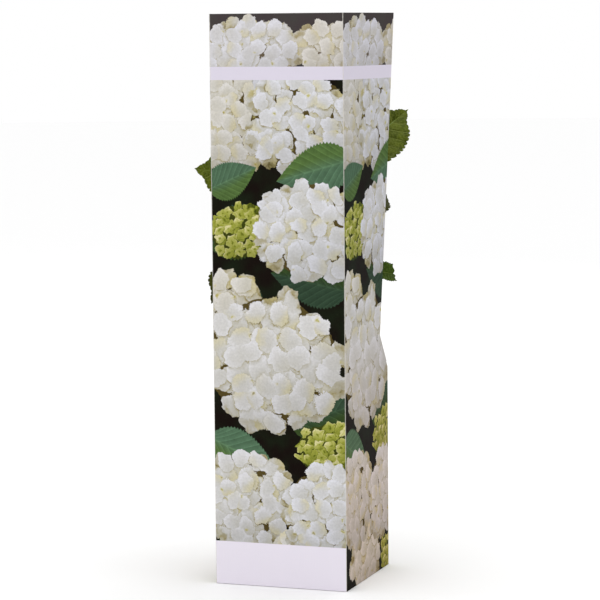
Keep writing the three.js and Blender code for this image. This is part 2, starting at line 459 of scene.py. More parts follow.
    def bump(self, height: Wire, depth: float, below: Node | None = None) -> Node:
        """Gives a surface relief of a depth in millimetres.

        Args:
            height: The relief, 0 to 1.
            depth: How deep it goes from 0 to 1.
            below: A relief that this one lies on.

        Returns:
            The bump node.
        """
        made = self.node("ShaderNodeBump", {"Height": height})
        made.inputs["Strength"].default_value = 1.0
        made.inputs["Distance"].default_value = depth * MM
        if below:
            self.tree.links.new(below.outputs[0], made.inputs["Normal"])
        return made

    def surface(
        self, colour: Wire | Colour, rough: float | Wire, bump: Node | None = None, **fixed: float
    ) -> Material:
        """Ends the graph in one plain surface.

        Args:
            colour: Its colour.
            rough: Its roughness.
            bump: Its relief.
            **fixed: The shader's own fixed values, with underscores in their names.

        Returns:
            The material.
        """
        shader = self.node("ShaderNodeBsdfPrincipled", {"Base Color": colour, "Roughness": rough})
        for name, value in fixed.items():
            shader.inputs[name.replace("_", " ")].default_value = value
        if bump:
            self.tree.links.new(bump.outputs[0], shader.inputs["Normal"])
        output = self.node("ShaderNodeOutputMaterial")
        self.tree.links.new(shader.outputs[0], output.inputs[0])
        return self.material


# ---- the carton's print


class Bloom(Enum):
    """The kinds of flower head in the printed picture."""

    WHITE = "white"
    LIME = "lime"


@dataclass(frozen=True)
class PrintedHead:
    """A flower head in the picture: its middle, its half width and half height."""

    x: float
    z: float
    wide: float
    tall: float
    bloom: Bloom = Bloom.WHITE
    warm: float = 0.0


@dataclass(frozen=True)
class PrintedLeaf:
    """A leaf in the picture: its foot, the way it points in degrees, its length and width."""

    x: float
    z: float
    points: float
    length: float
    width: float
    light: float = 1.0


@dataclass(frozen=True)
class Petals:
    """One layer of petals: the nearest one's middle, its reach, its colour and what it shades."""

    middle: Wire
    inside: Wire
    colour: Wire
    shadow: Wire
    contact: Wire


@dataclass(frozen=True)
class NearPetal:
    """A place as seen from the nearest petal's middle, and that petal's own random shares."""

    middle: Wire
    x: Wire
    y: Wire
    away: Wire
    angle: Wire
    shade: Wire
    form: Wire


@dataclass(frozen=True)
class PetalKind:
    """How a bloom's petals are shaped and shaded, with widths as shares of a petal's size."""

    sizes: tuple[float, ...]
    frilled: bool
    lobes: float
    lobe_depth: float
    tone: float
    deeper: float
    variety: float
    slope: float
    rim: float
    hollow: Colour
    stops: Stops


PETALS = {
    Bloom.WHITE: PetalKind(
        sizes=(27.0, 31.0, 26.0, 29.0),
        frilled=True,
        lobes=2.0,
        lobe_depth=0.05,
        tone=0.735,
        deeper=0.035,
        variety=0.1,
        slope=0.2,
        rim=0.3,
        hollow=linear(88, 76, 42),
        stops=(
            (0.14, linear(84, 74, 42)),
            (0.34, linear(166, 156, 118)),
            (0.54, linear(190, 186, 172)),
            (0.74, linear(205, 204, 202)),
            (1.0, linear(226, 226, 232)),
        ),
    ),
    Bloom.LIME: PetalKind(
        sizes=(14.5, 16.0),
        frilled=False,
        lobes=4.0,
        lobe_depth=0.07,
        tone=0.775,
        deeper=0.08,
        variety=0.2,
        slope=0.3,
        rim=0.09,
        hollow=linear(62, 68, 22),
        stops=(
            (0.2, linear(66, 74, 20)),
            (0.5, linear(116, 124, 40)),
            (0.74, linear(156, 160, 66)),
            (0.92, linear(192, 190, 110)),
            (1.0, linear(216, 210, 154)),
        ),
    ),
}

PICTURE: tuple[PrintedHead | PrintedLeaf, ...] = (
    PrintedLeaf(-80, 372, 18, 96, 60, 0.4),
    PrintedLeaf(78, 322, 168, 88, 52, 0.36),
    PrintedLeaf(14, 176, 20, 84, 54, 0.42),
    PrintedLeaf(-20, 320, 215, 80, 50, 0.34),
    PrintedHead(56, 579, 31, 26, warm=0.8),
    PrintedHead(-30, 574, 51, 35),
    PrintedHead(-52, 498, 43, 50, warm=0.7),
    PrintedHead(28, 500, 60, 53),
    PrintedLeaf(84, 462, 196, 88, 54, 0.95),
    PrintedLeaf(-78, 428, 24, 60, 42, 0.9),
    PrintedHead(-44, 384, 33, 30, Bloom.LIME),
    PrintedHead(34, 388, 56, 51),
    PrintedHead(-60, 308, 40, 30, warm=0.8),
    PrintedHead(-8, 244, 81, 78, warm=0.3),
    PrintedHead(52, 152, 32, 28, Bloom.LIME),
    PrintedLeaf(-80, 160, 336, 86, 50, 1.0),
    PrintedHead(-6, 22, 50, 34, warm=0.5),
    PrintedHead(-38, 94, 54, 49, warm=0.2),
    PrintedHead(50, 84, 46, 47),
    PrintedHead(70, 14, 26, 22, Bloom.LIME),
)


@dataclass(frozen=True)
class PrintFinish:
    """The carton's outer face: a glossy picture of flower heads, with two bare bands."""

    panel: float = 150.0
    header: tuple[float, float] = (545.0, 559.0)
    footer: float = 47.0
    petal_scatter: float = 0.78
    petal_reach: float = 0.485
    notch_depth: float = 0.018
    frill_depth: float = 0.024
    shadow_width: float = 0.17
    contact_width: float = 0.045
    button_spacing: float = 27.0
    crinkle: float = 2.4
    main_head: float = 244.0
    crowd_run: float = 90.0
    crowding: float = 0.5
    print_veins: float = 8.0
    print_teeth: float = 24.0
    # where the painted shade on the lower side and rear panels begins and where it is full
    low_side_shade_run: tuple[float, float] = (330.0, 60.0)
    header_haze: float = 0.09
    leaf_swell: float = 0.34
    junction: Colour = linear(214, 202, 132)
    button: Colour = linear(192, 186, 84)
    button_ripe: Colour = linear(150, 140, 74)
    warmth: Colour = linear(250, 240, 206)
    ground: Colour = linear(24, 17, 14)
    ground_green: Colour = linear(26, 32, 20)
    leaf: Colour = linear(87, 118, 91)
    leaf_warm: Colour = linear(90, 118, 64)
    band: Colour = linear(226, 220, 234)
    foot: Colour = linear(241, 235, 246)
    haze: Colour = linear(206, 190, 194)
    # painted shade: the warm, darker tint laid over the lower side and rear panels
    low_side_shade: Colour = linear(254, 239, 225)
    worn: Colour = linear(226, 222, 214)
    dusk: Colour = (0.78, 0.78, 0.785)
    # painted shade: the tint that makes the side and rear panels darker and a little cooler than the front
    turned: Colour = (0.9, 0.9, 0.92)
    light: Point = (-0.3, 0.75, 0.0)

    def nearest(self, g: Graph, place: Wire, size: float, number: int) -> NearPetal:
        """Finds the nearest petal of a layer.

        Args:
            g: The graph.
            place: The place in the picture.
            size: How far apart the petals are.
            number: How many layers lie over this one, which moves its petals aside.

        Returns:
            The place as seen from that petal.
        """
        shift = (83.0 * number + 7.0, 151.0 * number + 3.0, 0.0)
        _, random, found = g.cells(g.vector("ADD", place, shift), size, self.petal_scatter, flat=True)
        middle = g.vector("SUBTRACT", found, shift)
        off = g.vector("SUBTRACT", place, middle)
        x, y, _ = g.parts(off)
        turn, shade, form = g.shares(random)
        angle = g.math("ARCTAN2", y, x) - turn * math.tau
        return NearPetal(middle, x, y, g.vector("LENGTH", off), angle, shade, form)

    def reach(self, g: Graph, petal: NearPetal, kind: PetalKind) -> Wire:
        """Gives how far a petal reaches towards the place, as a share of its size.

        Args:
            g: The graph.
            petal: The petal.
            kind: The kind of petal.

        Returns:
            The share.
        """
        lobe = g.math("COSINE", petal.angle * kind.lobes + petal.form * 2.0)
        reach = lobe * kind.lobe_depth + self.petal_reach
        if kind.frilled:
            reach = reach + g.math("COSINE", petal.angle * 5.0 + petal.shade * 9.0) * self.notch_depth
            reach = reach + g.math("COSINE", petal.angle * 31.0) * petal.form * self.frill_depth
        return reach

    def tone(
        self,
        g: Graph,
        petal: NearPetal,
        kind: PetalKind,
        size: float,
        inside: Wire,
        lean: Wire,
        soft: Wire,
    ) -> Wire:
        """Shades a petal: its slope, its bright rim, and its streaks or its seams and hollow.

        Args:
            g: The graph.
            petal: The petal.
            kind: The kind of petal.
            size: How far apart the petals are.
            inside: How far the place is within its edge.
            lean: How far the place is towards the side that it leans to, -1 to 1.
            soft: A soft noise.

        Returns:
            What is added to the layer's own tone.
        """
        slope = (petal.y * 0.8 - petal.x * 0.5) * (kind.slope / size)
        rim = 1.0 - g.ease(inside, 0.0, kind.rim * size)
        tone = (petal.shade - 0.5) * kind.variety + soft * 0.15 + lean * 0.1 + slope + rim * 0.1
        if kind.frilled:
            streak = g.math("COSINE", petal.angle * 17.0 + petal.shade * 9.0)
            return tone + streak * g.ease(petal.away, 0.1 * size, 0.45 * size) * soft * 0.06
        seam = g.ease(abs(g.math("SINE", petal.angle * 2.0 + petal.form)), 0.0, 0.3)
        hollow = 1.0 - g.ease(petal.away, 0.03 * size, 0.16 * size)
        return tone - (1.0 - seam) * 0.1 - hollow * 0.34

    def layer(self, g: Graph, place: Wire, kind: PetalKind, number: int, above: Petals | None) -> Petals:
        """Draws one layer of overlapping petals.

        Args:
            g: The graph.
            place: The place in the picture.
            kind: The kind of petal.
            number: How many layers lie over it.
            above: The layers above, which shade it.

        Returns:
            The layer.
        """
        size = kind.sizes[number]
        petal = self.nearest(g, place, size, number)
        reach = self.reach(g, petal, kind) * size
        inside = reach - petal.away
        lean = g.math("COSINE", petal.angle) * petal.away / reach
        soft = g.noise(place, 15.0 + 3.0 * number, 2.0)
        tone = self.tone(g, petal, kind, size, inside, lean, soft) + (kind.tone - kind.deeper * number)
        if above:
            blur = g.ease(soft, 0.25, 0.62)
            tone = tone - above.shadow * (0.06 + 0.27 * blur) - above.contact * (0.2 * blur)
        colour = g.ramp(tone, kind.stops)
        if kind.frilled:
            cream = g.ease(lean, 0.1, -0.95) * g.ease(petal.form, 0.35, 0.8)
            colour = g.paint(cream * 0.45, colour, self.junction)
        below = g.ease(petal.y / (petal.away + 0.1), 0.7, -0.7)
        shadow = g.ease(inside, -self.shadow_width * size, 0.0) * (0.3 + 0.7 * below)
        contact = g.ease(inside, -self.contact_width * size, 0.0)
        return Petals(petal.middle, inside, colour, shadow, contact)

    def layers(self, g: Graph, place: Wire, kind: PetalKind) -> list[Petals]:
        """Draws a bloom's layers of petals, from the lowest to the top one.

        Args:
            g: The graph.
            place: The place in the picture.
            kind: The kind of petal.

        Returns:
            The layers.
        """
        drawn: list[Petals] = []
        above = None
        for number in range(len(kind.sizes)):
            drawn.append(self.layer(g, place, kind, number, above))
            seen = drawn[-1]
            if above:
                shadow = g.math("MAXIMUM", above.shadow, seen.shadow)
                contact = g.math("MAXIMUM", above.contact, seen.contact)
                seen = replace(seen, shadow=shadow, contact=contact)
            above = seen
        return drawn[::-1]

    def buttons(self, g: Graph, under: Wire, place: Wire) -> Wire:
        """Dots the small unopened middles of the flowers over a white head.

        Args:
            g: The graph.
            under: The head so far.
            place: The place in the picture.

        Returns:
            The head with them.
        """
        share, random, _ = g.cells(place, self.button_spacing, 1.0, flat=True)
        off = share * self.button_spacing
        draw, grow, ripe = g.shares(random)
        size = 0.8 + 1.5 * grow
        shown = g.math("GREATER_THAN", draw, 0.62)
        ring = g.ease(off, size + 2.4, size) * shown
        under = g.paint(ring * 0.3, under, self.junction)
        dot = g.ease(off, size, size - 0.8) * shown
        return g.paint(dot * 0.75, under, g.paint(ripe, self.button, self.button_ripe))

    def head(
        self, g: Graph, under: Wire, place: Wire, layers: Sequence[Petals], head: PrintedHead
    ) -> Wire:
        """Prints one flower head over what is there.

        Args:
            g: The graph.
            under: The picture so far.
            place: The place in the picture.
            layers: The petals to make it of, from the lowest.
            head: Its place, size and kind.

        Returns:
            The picture with it.
        """
        white = head.bloom is Bloom.WHITE
        scale = (1 / head.wide, 1 / head.tall, 0.0)
        start = (-head.x / head.wide, -head.z / head.tall, 0.0)
        dome = g.vector("MULTIPLY_ADD", place, scale, start)
        covers = g.math("LESS_THAN", g.vector("LENGTH", dome), 0.95)
        colour = PETALS[head.bloom].hollow
        for layer in layers:
            out = g.vector("LENGTH", g.vector("MULTIPLY_ADD", layer.middle, scale, start))
            here = g.math("LESS_THAN", out, 1.0) * g.math("GREATER_THAN", layer.inside, 0.0)
            colour = g.paint(here, colour, layer.colour)
            covers = g.math("MAXIMUM", covers, here)
        if white:
            colour = self.buttons(g, colour, place)
        dim = g.ease(g.vector("DOT_PRODUCT", dome, self.light), 0.35, -0.95)
        colour = g.paint(dim, colour, self.dusk, mode="MULTIPLY")
        if head.warm and white:
            colour = g.paint(head.warm * 0.55, colour, self.warmth, mode="MULTIPLY")
        return g.paint(covers, under, colour)

    def leaf_print(self, g: Graph, under: Wire, place: Wire, leaf: PrintedLeaf) -> Wire:
        """Prints one toothed, veined leaf over what is there.

        Args:
            g: The graph.
            under: The picture so far.
            place: The place in the picture.
            leaf: Its place, size and direction.

        Returns:
            The picture with it.
        """
        turn = math.radians(leaf.points)
        away = g.vector("SUBTRACT", place, (leaf.x, leaf.z, 0))
        ahead = (math.cos(turn) / leaf.length, math.sin(turn) / leaf.length, 0)
        along = g.vector("DOT_PRODUCT", away, ahead)
        side = g.vector("DOT_PRODUCT", away, (-math.sin(turn), math.cos(turn), 0))
        held = g.math("MINIMUM", g.math("MAXIMUM", along, 0.001), 0.999)
        swell = g.math("POWER", held, 0.6) * g.math("POWER", 1.0 - held, 1.05) / self.leaf_swell
        across = side / (swell * (leaf.width / 2) + 0.01)
        out = abs(across)
        slant = held - 0.5 * out * (1.0 - 0.7 * held)
        teeth = g.math("FRACT", (held - 0.12 * out) * self.print_teeth) * 0.1
        on_length = g.math("LESS_THAN", abs(along - 0.5), 0.499)
        covers = g.math("LESS_THAN", out + teeth, 1.0) * on_length
        quilt = g.math("FRACT", slant * self.print_veins)
        vein = g.ease(abs(quilt - 0.5), 0.38, 0.48)
        middle = 1.0 - g.ease(out, 0.02, 0.06)
        body = g.paint(g.ease(across, -0.5, 0.2), self.leaf_warm, self.leaf)
        cloud = g.noise(place, 11.0, 4.0)
        shade = leaf.light * (0.5 + 0.3 * quilt + 0.26 * middle + 0.24 * vein + 0.54 * cloud)
        colour = g.paint(1.0, body, g.tint(shade, shade, shade), mode="MULTIPLY")
        return g.paint(covers, under, colour)

    def crowd(self, g: Graph, place: Wire) -> Wire:
        """Maps the picture to the petals' own plane, which is stretched away from the main head.

        Args:
            g: The graph.
            place: The place in the picture.

        Returns:
            The place in their plane.
        """
        x, z, _ = g.parts(place)
        off = z - self.main_head
        share = off * off / (off * off + self.crowd_run**2)
        further = off - g.math("ARCTANGENT", off / self.crowd_run) * self.crowd_run
        return g.join(x * (1.0 + share * self.crowding), z + further * self.crowding)

    def crowded(self, head: PrintedHead) -> PrintedHead:
        """Maps a head to the petals' own plane.

        Args:
            head: The head in the picture.

        Returns:
            The head in their plane.
        """
        off = head.z - self.main_head
        scale = 1 + self.crowding * off**2 / (off**2 + self.crowd_run**2)
        z = head.z + self.crowding * (off - self.crowd_run * math.atan(off / self.crowd_run))
        return replace(head, x=head.x * scale, z=z, wide=head.wide * scale, tall=head.tall * scale)

    def picture(self, g: Graph, place: Wire) -> Wire:
        """Prints the whole picture, from the ground up to the nearest head.

        Args:
            g: The graph.
            place: The place in the picture.

        Returns:
            Its colour.
        """
        spot = self.crowd(g, place)
        sway = g.vector("ADD", g.sway(spot, 9.0, 2.0, 10.0), g.sway(spot, 1.9, 1.0, 1.9))
        bent = g.vector("ADD", spot, sway)
        cloud = g.noise(place, 34.0, 2.0)
        colour = g.paint(g.ease(cloud, 0.35, 0.7), self.ground, self.ground_green)
        layers = {bloom: self.layers(g, bent, kind) for bloom, kind in PETALS.items()}
        for item in PICTURE:
            if isinstance(item, PrintedLeaf):
                colour = self.leaf_print(g, colour, place, item)
            else:
                colour = self.head(g, colour, bent, layers[item.bloom], self.crowded(item))
        crinkle = 1.0 + (g.noise(place, self.crinkle, 3.0, 0.6) - 0.5) * 0.4
        return g.paint(1.0, colour, g.tint(crinkle, crinkle, crinkle), mode="MULTIPLY")

    def material(self) -> Material:
        """Makes the printed face, with painted shade that darkens the side and rear panels, most towards
        their foot.

        Returns:
            The material.
        """
        g = Graph("printed_liner")
        blank = g.attribute("blank")
        s, _, z = g.parts(blank)
        panel = self.panel
        x = g.math("WRAP", s, panel / 2, -panel / 2)
        colour = self.picture(g, g.join(x, z))
        above = g.math("GREATER_THAN", z, self.header[1])
        front = g.math("LESS_THAN", abs(s), panel / 2)
        # Painted shade: the side and rear panels are darkened against the front.
        colour = g.paint(1.0 - front, colour, self.turned, mode="MULTIPLY")
        colour = g.paint(above * self.header_haze, colour, self.haze)
        in_band = above * -1.0 + g.math("GREATER_THAN", z, self.header[0])
        colour = g.paint(in_band, colour, self.band)
        colour = g.paint(front * g.math("LESS_THAN", z, self.footer), colour, self.foot)
        # Painted shade: the side and rear panels grow darker and warmer towards their foot.
        low = (1.0 - front) * g.ease(z, *self.low_side_shade_run)
        colour = g.paint(low, colour, self.low_side_shade, mode="MULTIPLY")
        scuff = g.noise(blank, 3.0, 4.0)
        crease = g.math("PINGPONG", s + panel / 2, panel / 2)
        fold = 1.0 - g.ease(crease + (scuff - 0.5) * 1.2, 0.3, 0.9)
        colour = g.paint(fold * 0.6, colour, self.worn)
        flutes = g.math("SINE", s * (math.tau / FLUTE)) * 0.5 + 0.5
        grain = g.noise(blank, 0.6, 2.0)
        relief = g.bump(grain, 0.02, g.bump(flutes, 0.035))
        rough = 0.46 + 0.16 * scuff + 0.25 * fold
        return g.surface(colour, rough, relief, Specular_IOR_Level=0.015)


@dataclass(frozen=True)
class KraftFinish:
    """Bare brown board: the carton's inner face."""

    name: str = "kraft_liner"
    base: Colour = linear(176, 146, 112)
    fleck: Colour = linear(128, 100, 72)
    patch: Colour = linear(200, 174, 140)

    def material(self) -> Material:
        """Makes the bare face, with fibres and paler patches.

        Returns:
            The material.
        """
        g = Graph(self.name)
        place = g.object_place()
        stretched = g.vector("MULTIPLY", place, (1.0, 1.0, 0.25))
        fibre = g.noise(stretched, 1.4, 5.0, 0.7)
        patch = g.noise(place, 40.0, 3.0)
        colour = g.paint(g.ease(fibre, 0.35, 0.75) * 0.55, self.base, self.fleck)
        colour = g.paint(patch * 0.25, colour, self.patch)
        return g.surface(colour, 0.86, g.bump(fibre, 0.05), Specular_IOR_Level=0.3)


@dataclass(frozen=True)
class CutEdgeFinish:
    """The board's cut edge: two liners with a wave of fluting between them, and painted shade in the gaps
    beside the wave.
    """

    liner: Colour = linear(196, 168, 150)
    wave: Colour = linear(158, 124, 96)
    # painted shade: the dark of the open gaps on either side of the flute's wave
    hollow: Colour = linear(62, 46, 36)
    board: float = 1.5

    def material(self) -> Material:
        """Makes the cut edge.

        Returns:
            The material.
        """
        g = Graph("cut_board_edge")
        s, depth, _ = g.parts(g.attribute("blank"))
        share = depth / self.board
        wave = g.math("SINE", s * (math.tau / FLUTE)) * 0.32 + 0.5
        off = abs(share - wave)
        # Painted shade fills the gaps on either side of the wave.
        core = g.paint(1.0 - g.ease(off, 0.09, 0.2), self.hollow, self.wave)
        rim = g.ease(abs(share - 0.5), 0.36, 0.42)
        return g.surface(g.paint(rim, core, self.liner), 0.9, Specular_IOR_Level=0.2)


# ---- the carton


@dataclass
class Carton:
    """One sheet of printed board, folded into a tall sleeve, with flaps under its foot."""

    rear_top: float = 224.0
    notch_top: float = 262.0
    flap: float = 120.0
    right_splay: float = 8.5
    left_splay: float = 18.5
    left_splay_run: float = 178.0
    crease: float = 1.6
    tab: float = 16.0
    tab_gap: float = 0.2
    bow: float = 0.9
    slit: float = 1.2
    flap_gap: float = 0.05
    flap_inset: float = 4.0
    flap_opening: float = 14.4
    flap_corner: float = 6.0
    front_node: str = "carton_front_panel"
    width: float = field(init=False)
    height: float = field(init=False)
    board: float = field(init=False)
    columns: list[float] = field(init=False)
    rows: list[float] = field(init=False)

    PRINT = 0
    INNER = 1
    EDGE = 2

    def __post_init__(self) -> None:
        """Takes the main sizes from the front panel's node."""
        low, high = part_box(self.front_node)
        self.width = (high[0] - low[0]) / MM
        self.board = (high[1] - low[1]) / MM
        self.height = (high[2] - low[2]) / MM

    @property
    def half(self) -> float:
        """Half the carton's width."""
        return self.width / 2

    @property
    def last_fold(self) -> float:
        """Where the sheet's last fold lies, which turns its tab in."""
        return self.half + 2 * self.width - self.board - self.tab_gap

    def splay(self, side: int | Array, z: float | Array) -> Array:
        """Gives how far a side panel stands open.

        Args:
            side: -1 for the left panel, 1 for the right.
            z: The height.

        Returns:
            The angle, in radians.
        """
        above = z - self.notch_top
        left = math.radians(self.left_splay) * smooth(above / self.left_splay_run)
        right = math.radians(self.right_splay) * np.clip(above / (self.height - self.notch_top), 0, 1)
        return np.where(np.less(side, 0), left, right)

    def panel_depth(self, z: float) -> float:
        """Gives how far back a side panel reaches at a height.

        Args:
            z: The height.

        Returns:
            The depth.
        """
        full = self.width - self.crease
        narrowed = min(1.0, max(0.0, (z - self.rear_top) / (self.notch_top - self.rear_top)))
        return full + (self.flap - full) * narrowed

    def corner(
        self, s: float, at: Vector, ahead: Vector, inward: Vector, turn: float
    ) -> tuple[Vector, Vector]:
        """Rounds a fold.

        Args:
            s: How far past the fold's line, negative before it.
            at: The sharp corner.
            ahead: The way the sheet runs before the fold.
            inward: The way to the carton's inside before the fold.
            turn: The angle that the sheet turns by.

        Returns:
            The outer face's place and the way out of it.
        """
        radius = self.crease / math.tan(turn / 2)
        angle = turn * (s + self.crease) / (2 * self.crease)
        start = at - ahead * self.crease
        place = start + ahead * (radius * math.sin(angle)) + inward * (radius * (1 - math.cos(angle)))
        return place, ahead * math.sin(angle) - inward * math.cos(angle)

    def outer_face(self, s: float, z: float) -> tuple[Vector, Vector]:
        """Finds a place of the sheet's outer face once it is folded.

        Args:
            s: The place along the sheet, 0 in the middle of the front panel.
            z: The height.

        Returns:
            The place and the way out, both level.
        """
        half, width = self.half, self.width
        side = 1 if s > 0 else -1
        run = abs(s)
        ahead, inward = Vector((side, 0)), Vector((0, 1))
        corner, quarter = Vector((side * half, -half)), math.pi / 2
        opened = float(self.splay(side, z))
        if run < half - self.crease:
            return Vector((s, -half)), -inward
        if run < half + self.crease:
            return self.corner(run - half, corner, ahead, inward, quarter - opened)
        way = Vector((side * math.sin(opened), math.cos(opened)))
        out = Vector((side * math.cos(opened), -math.sin(opened)))
        if run < half + width - self.crease or side < 0 or z > self.rear_top:
            return corner + way * (run - half), out
        if run < half + width + self.crease:
            return self.corner(run - half - width, Vector((half, half)), inward, Vector((-1, 0)), quarter)
        last = self.last_fold
        if run < last - self.crease:
            return Vector((half - (run - half - width), half)), Vector((0, 1))
        fold = Vector((half - (last - half - width), half))
        if run < last + self.crease:
            return self.corner(run - last, fold, Vector((-1, 0)), Vector((0, -1)), quarter)
        return fold + Vector((0, -1)) * (run - last), Vector((-1, 0))

    def ruled(self, stretches: Sequence[tuple[float, float, int]]) -> list[float]:
        """Rules lines over stretches of the sheet.

        Args:
            stretches: Where each stretch starts and ends, and how many fields it has.

        Returns:
            The lines' places in order.
        """
        lines = [stretches[0][0]]
        for start, end, count in stretches:
            lines += [start + (end - start) * (i + 1) / count for i in range(count)]
        return lines

    def rule_sheet(self) -> None:
        """Rules the sheet's columns and rows, close together at the folds."""
        half, width, crease, last = self.half, self.width, self.crease, self.last_fold
        self.columns = self.ruled(
            (
                (-half - width, -half - crease, 12),
                (-half - crease, -half + crease, 6),
                (-half + crease, half - crease, 14),
                (half - crease, half + crease, 6),
                (half + crease, half + width - crease, 12),
                (half + width - crease, half + width + crease, 6),
                (half + width + crease, last - crease, 12),
                (last - crease, last + crease, 6),
                (last + crease, last + self.tab, 2),
            )
        )
        self.rows = self.ruled(
            ((0, self.rear_top, 18), (self.rear_top, self.notch_top, 6), (self.notch_top, self.height, 44))
        )

    def sheet_place(self, column: int, row: int) -> tuple[float, float]:
        """Finds where a ruled crossing lies on the flat sheet, with the side panels cut back.

        Args:
            column: The ruled column.
            row: The ruled row.

        Returns:
            The place along the sheet and its height.
        """
        s, z = self.columns[column], self.rows[row]
        side = 1 if s > 0 else -1
        start, full = self.half + self.crease, self.width - self.crease
        if start < abs(s) <= self.half + self.width and z > self.rear_top:
            span = full - self.crease if side > 0 else full
            share = (abs(s) - start) / span
            s = side * (start + (self.panel_depth(z) - self.crease) * share)
        return s, z

    def flat_sheet(self) -> Shape:
        """Makes the flat sheet: ruled, cut to its outline and given its thickness.

        Returns:
            The sheet.
        """
        self.rule_sheet()
        across, up = len(self.columns) - 1, len(self.rows) - 1
        bm = bmesh.new()
        bmesh.ops.create_grid(bm, x_segments=across, y_segments=up, size=0.5)
        for vert in bm.verts:
            column = round((vert.co.x + 0.5) * across)
            row = round((vert.co.y + 0.5) * up)
            s, z = self.sheet_place(column, row)
            vert.co = (s, 0, z)
        rear = self.half + self.width - self.crease
        waste = []
        for face in bm.faces:
            above = face.calc_center_median().z > self.rear_top
            if above and max(vert.co.x for vert in face.verts) > rear + 0.01:
                waste.append(face)
        bmesh.ops.delete(bm, geom=waste, context="FACES")
        bmesh.ops.recalc_face_normals(bm, faces=bm.faces)
        bmesh.ops.solidify(bm, geom=list(bm.faces), thickness=self.board)
        return bm

    def fold(self, bm: Shape) -> None:
        """Folds the flat sheet, and keeps each point's place on the flat sheet as `blank`.

        Args:
            bm: The flat sheet.
        """
        blank = bm.verts.layers.float_vector.new("blank")
        inner = max(abs(vert.co.y) for vert in bm.verts)
        for vert in bm.verts:
            s, z = vert.co.x, vert.co.z
            depth = abs(vert.co.y) * self.board / inner
            vert[blank] = (s, depth, z)
            place, out = self.outer_face(s, z)
            swell = self.bow * max(0.0, 1 - (s / self.half) ** 2) * math.sin(math.pi * z / self.height)
            place = place + out * (swell * 0.6 - depth)
            vert.co = (place.x, place.y, z)

    def sort_faces(self, bm: Shape) -> None:
        """Tells the printed faces, the inner faces and the cut edges apart.

        Args:
            bm: The folded sheet.
        """
        blank = bm.verts.layers.float_vector["blank"]
        for face in bm.faces:
            depths = [vert[blank].y for vert in face.verts]
            spread = max(depths) - min(depths)
            if spread > self.board / 2:
                face.material_index = self.EDGE
            else:
                face.material_index = self.INNER if depths[0] > self.board / 2 else self.PRINT

    def sleeve(self, finishes: Sequence[Material]) -> Piece:
        """Makes the folded sheet.

        Args:
            finishes: The print, the inner face and the cut edge.

        Returns:
            The piece.
        """
        bm = self.flat_sheet()
        self.fold(bm)
        bmesh.ops.recalc_face_normals(bm, faces=bm.faces)
        self.sort_faces(bm)
        mark_sharp(bm, 40)
        nodes = (self.front_node, "carton_left_panel", "carton_right_panel", "carton_rear_wall")
        return make_piece(bm, "carton_sleeve", finishes, nodes)

    def flap_under(self, low: Point, high: Point, round_side: int) -> Shape:
        """Makes one base flap.

        Args:
            low, high: Its opposite corners.
            round_side: Which way its free edge faces along Y, -1 or 1, or 0 along X.

        Returns:
            The flap, its corners rounded.
        """
        bm = bmesh.new()
        bmesh.ops.create_cube(bm, size=1)
        size = Vector(high) - Vector(low)
        bmesh.ops.scale(bm, vec=size, verts=bm.verts)
        bmesh.ops.translate(bm, vec=(Vector(high) + Vector(low)) / 2, verts=bm.verts)
        upright = [e for e in bm.edges if abs(e.verts[0].co.z - e.verts[1].co.z) > size.z / 2]
        if round_side:
            upright = [e for e in upright if (e.verts[0].co.y - (low[1] + high[1]) / 2) * round_side > 0]
        bmesh.ops.bevel(
            bm, geom=upright, offset=self.flap_corner, segments=5, affect="EDGES", profile=0.5, material=-1
        )
        blank = bm.verts.layers.float_vector.new("blank")
        for vert in bm.verts:
            vert[blank] = (vert.co.x, self.board * (vert.co.z - low[2]) / size.z, vert.co.y)
        for face in bm.faces:
            face.material_index = 0 if abs(face.normal.z) > 0.5 else 1
        return bm

    def base(self, finishes: Sequence[Material]) -> Piece:
        """Makes the four flaps that close the carton's foot.

        Args:
            finishes: The bare face and the cut edge.

        Returns:
            The piece.
        """
        low, high = (Vector(corner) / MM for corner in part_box("carton_base_flaps"))
        level, gap, inset = (low.z + high.z) / 2, self.flap_gap, self.flap_inset
        slit, opening = self.slit / 2, self.flap_opening
        flaps = (
            ((low.x, low.y, low.z), (high.x, -slit, level - gap), 0),
            ((low.x, slit, low.z), (high.x, high.y, level - gap), 0),
            ((low.x, low.y + inset, level + gap), (-opening, high.y - inset, high.z), 1),
            ((opening, low.y + inset, level + gap), (high.x, high.y - inset, high.z), 1),
        )
        bm = bmesh.new()
        for start, end, side in flaps:
            add_shape(bm, self.flap_under(start, end, side))
        mark_sharp(bm, 40)
        return make_piece(bm, "carton_base", finishes, ("carton_base_flaps",))


# ---- the pot and its compost


@dataclass(frozen=True)
class PotFinish:
    """Thin black blow-moulded plastic, with patches of dust."""

    base: Colour = linear(44, 43, 42)
    dust: Colour = linear(92, 82, 70)

    def material(self) -> Material:
        """Makes the pot's plastic.

        Returns:
            The material.
        """
        g = Graph("pot_plastic")
        place = g.object_place()
        dust = g.ease(g.noise(place, 9.0, 5.0), 0.5, 0.8)
        colour = g.paint(dust * 0.35, self.base, self.dust)
        grain = g.noise(place, 0.8, 2.0)
        return g.surface(colour, 0.42 + 0.3 * dust, g.bump(grain, 0.04))


@dataclass(frozen=True)
class CompostFinish:
    """Moist dark compost, in one of its tints."""

    name: str
    base: Colour
    light: Colour

    def material(self) -> Material:
        """Makes the crumbs' finish.

        Returns:
            The material.
        """
        g = Graph(self.name)
        place = g.object_place()
        lump = g.noise(place, 2.6, 6.0, 0.7)
        colour = g.paint(g.ease(lump, 0.35, 0.8), self.base, self.light)
        return g.surface(colour, 0.93, g.bump(lump, 0.8), Specular_IOR_Level=0.25)


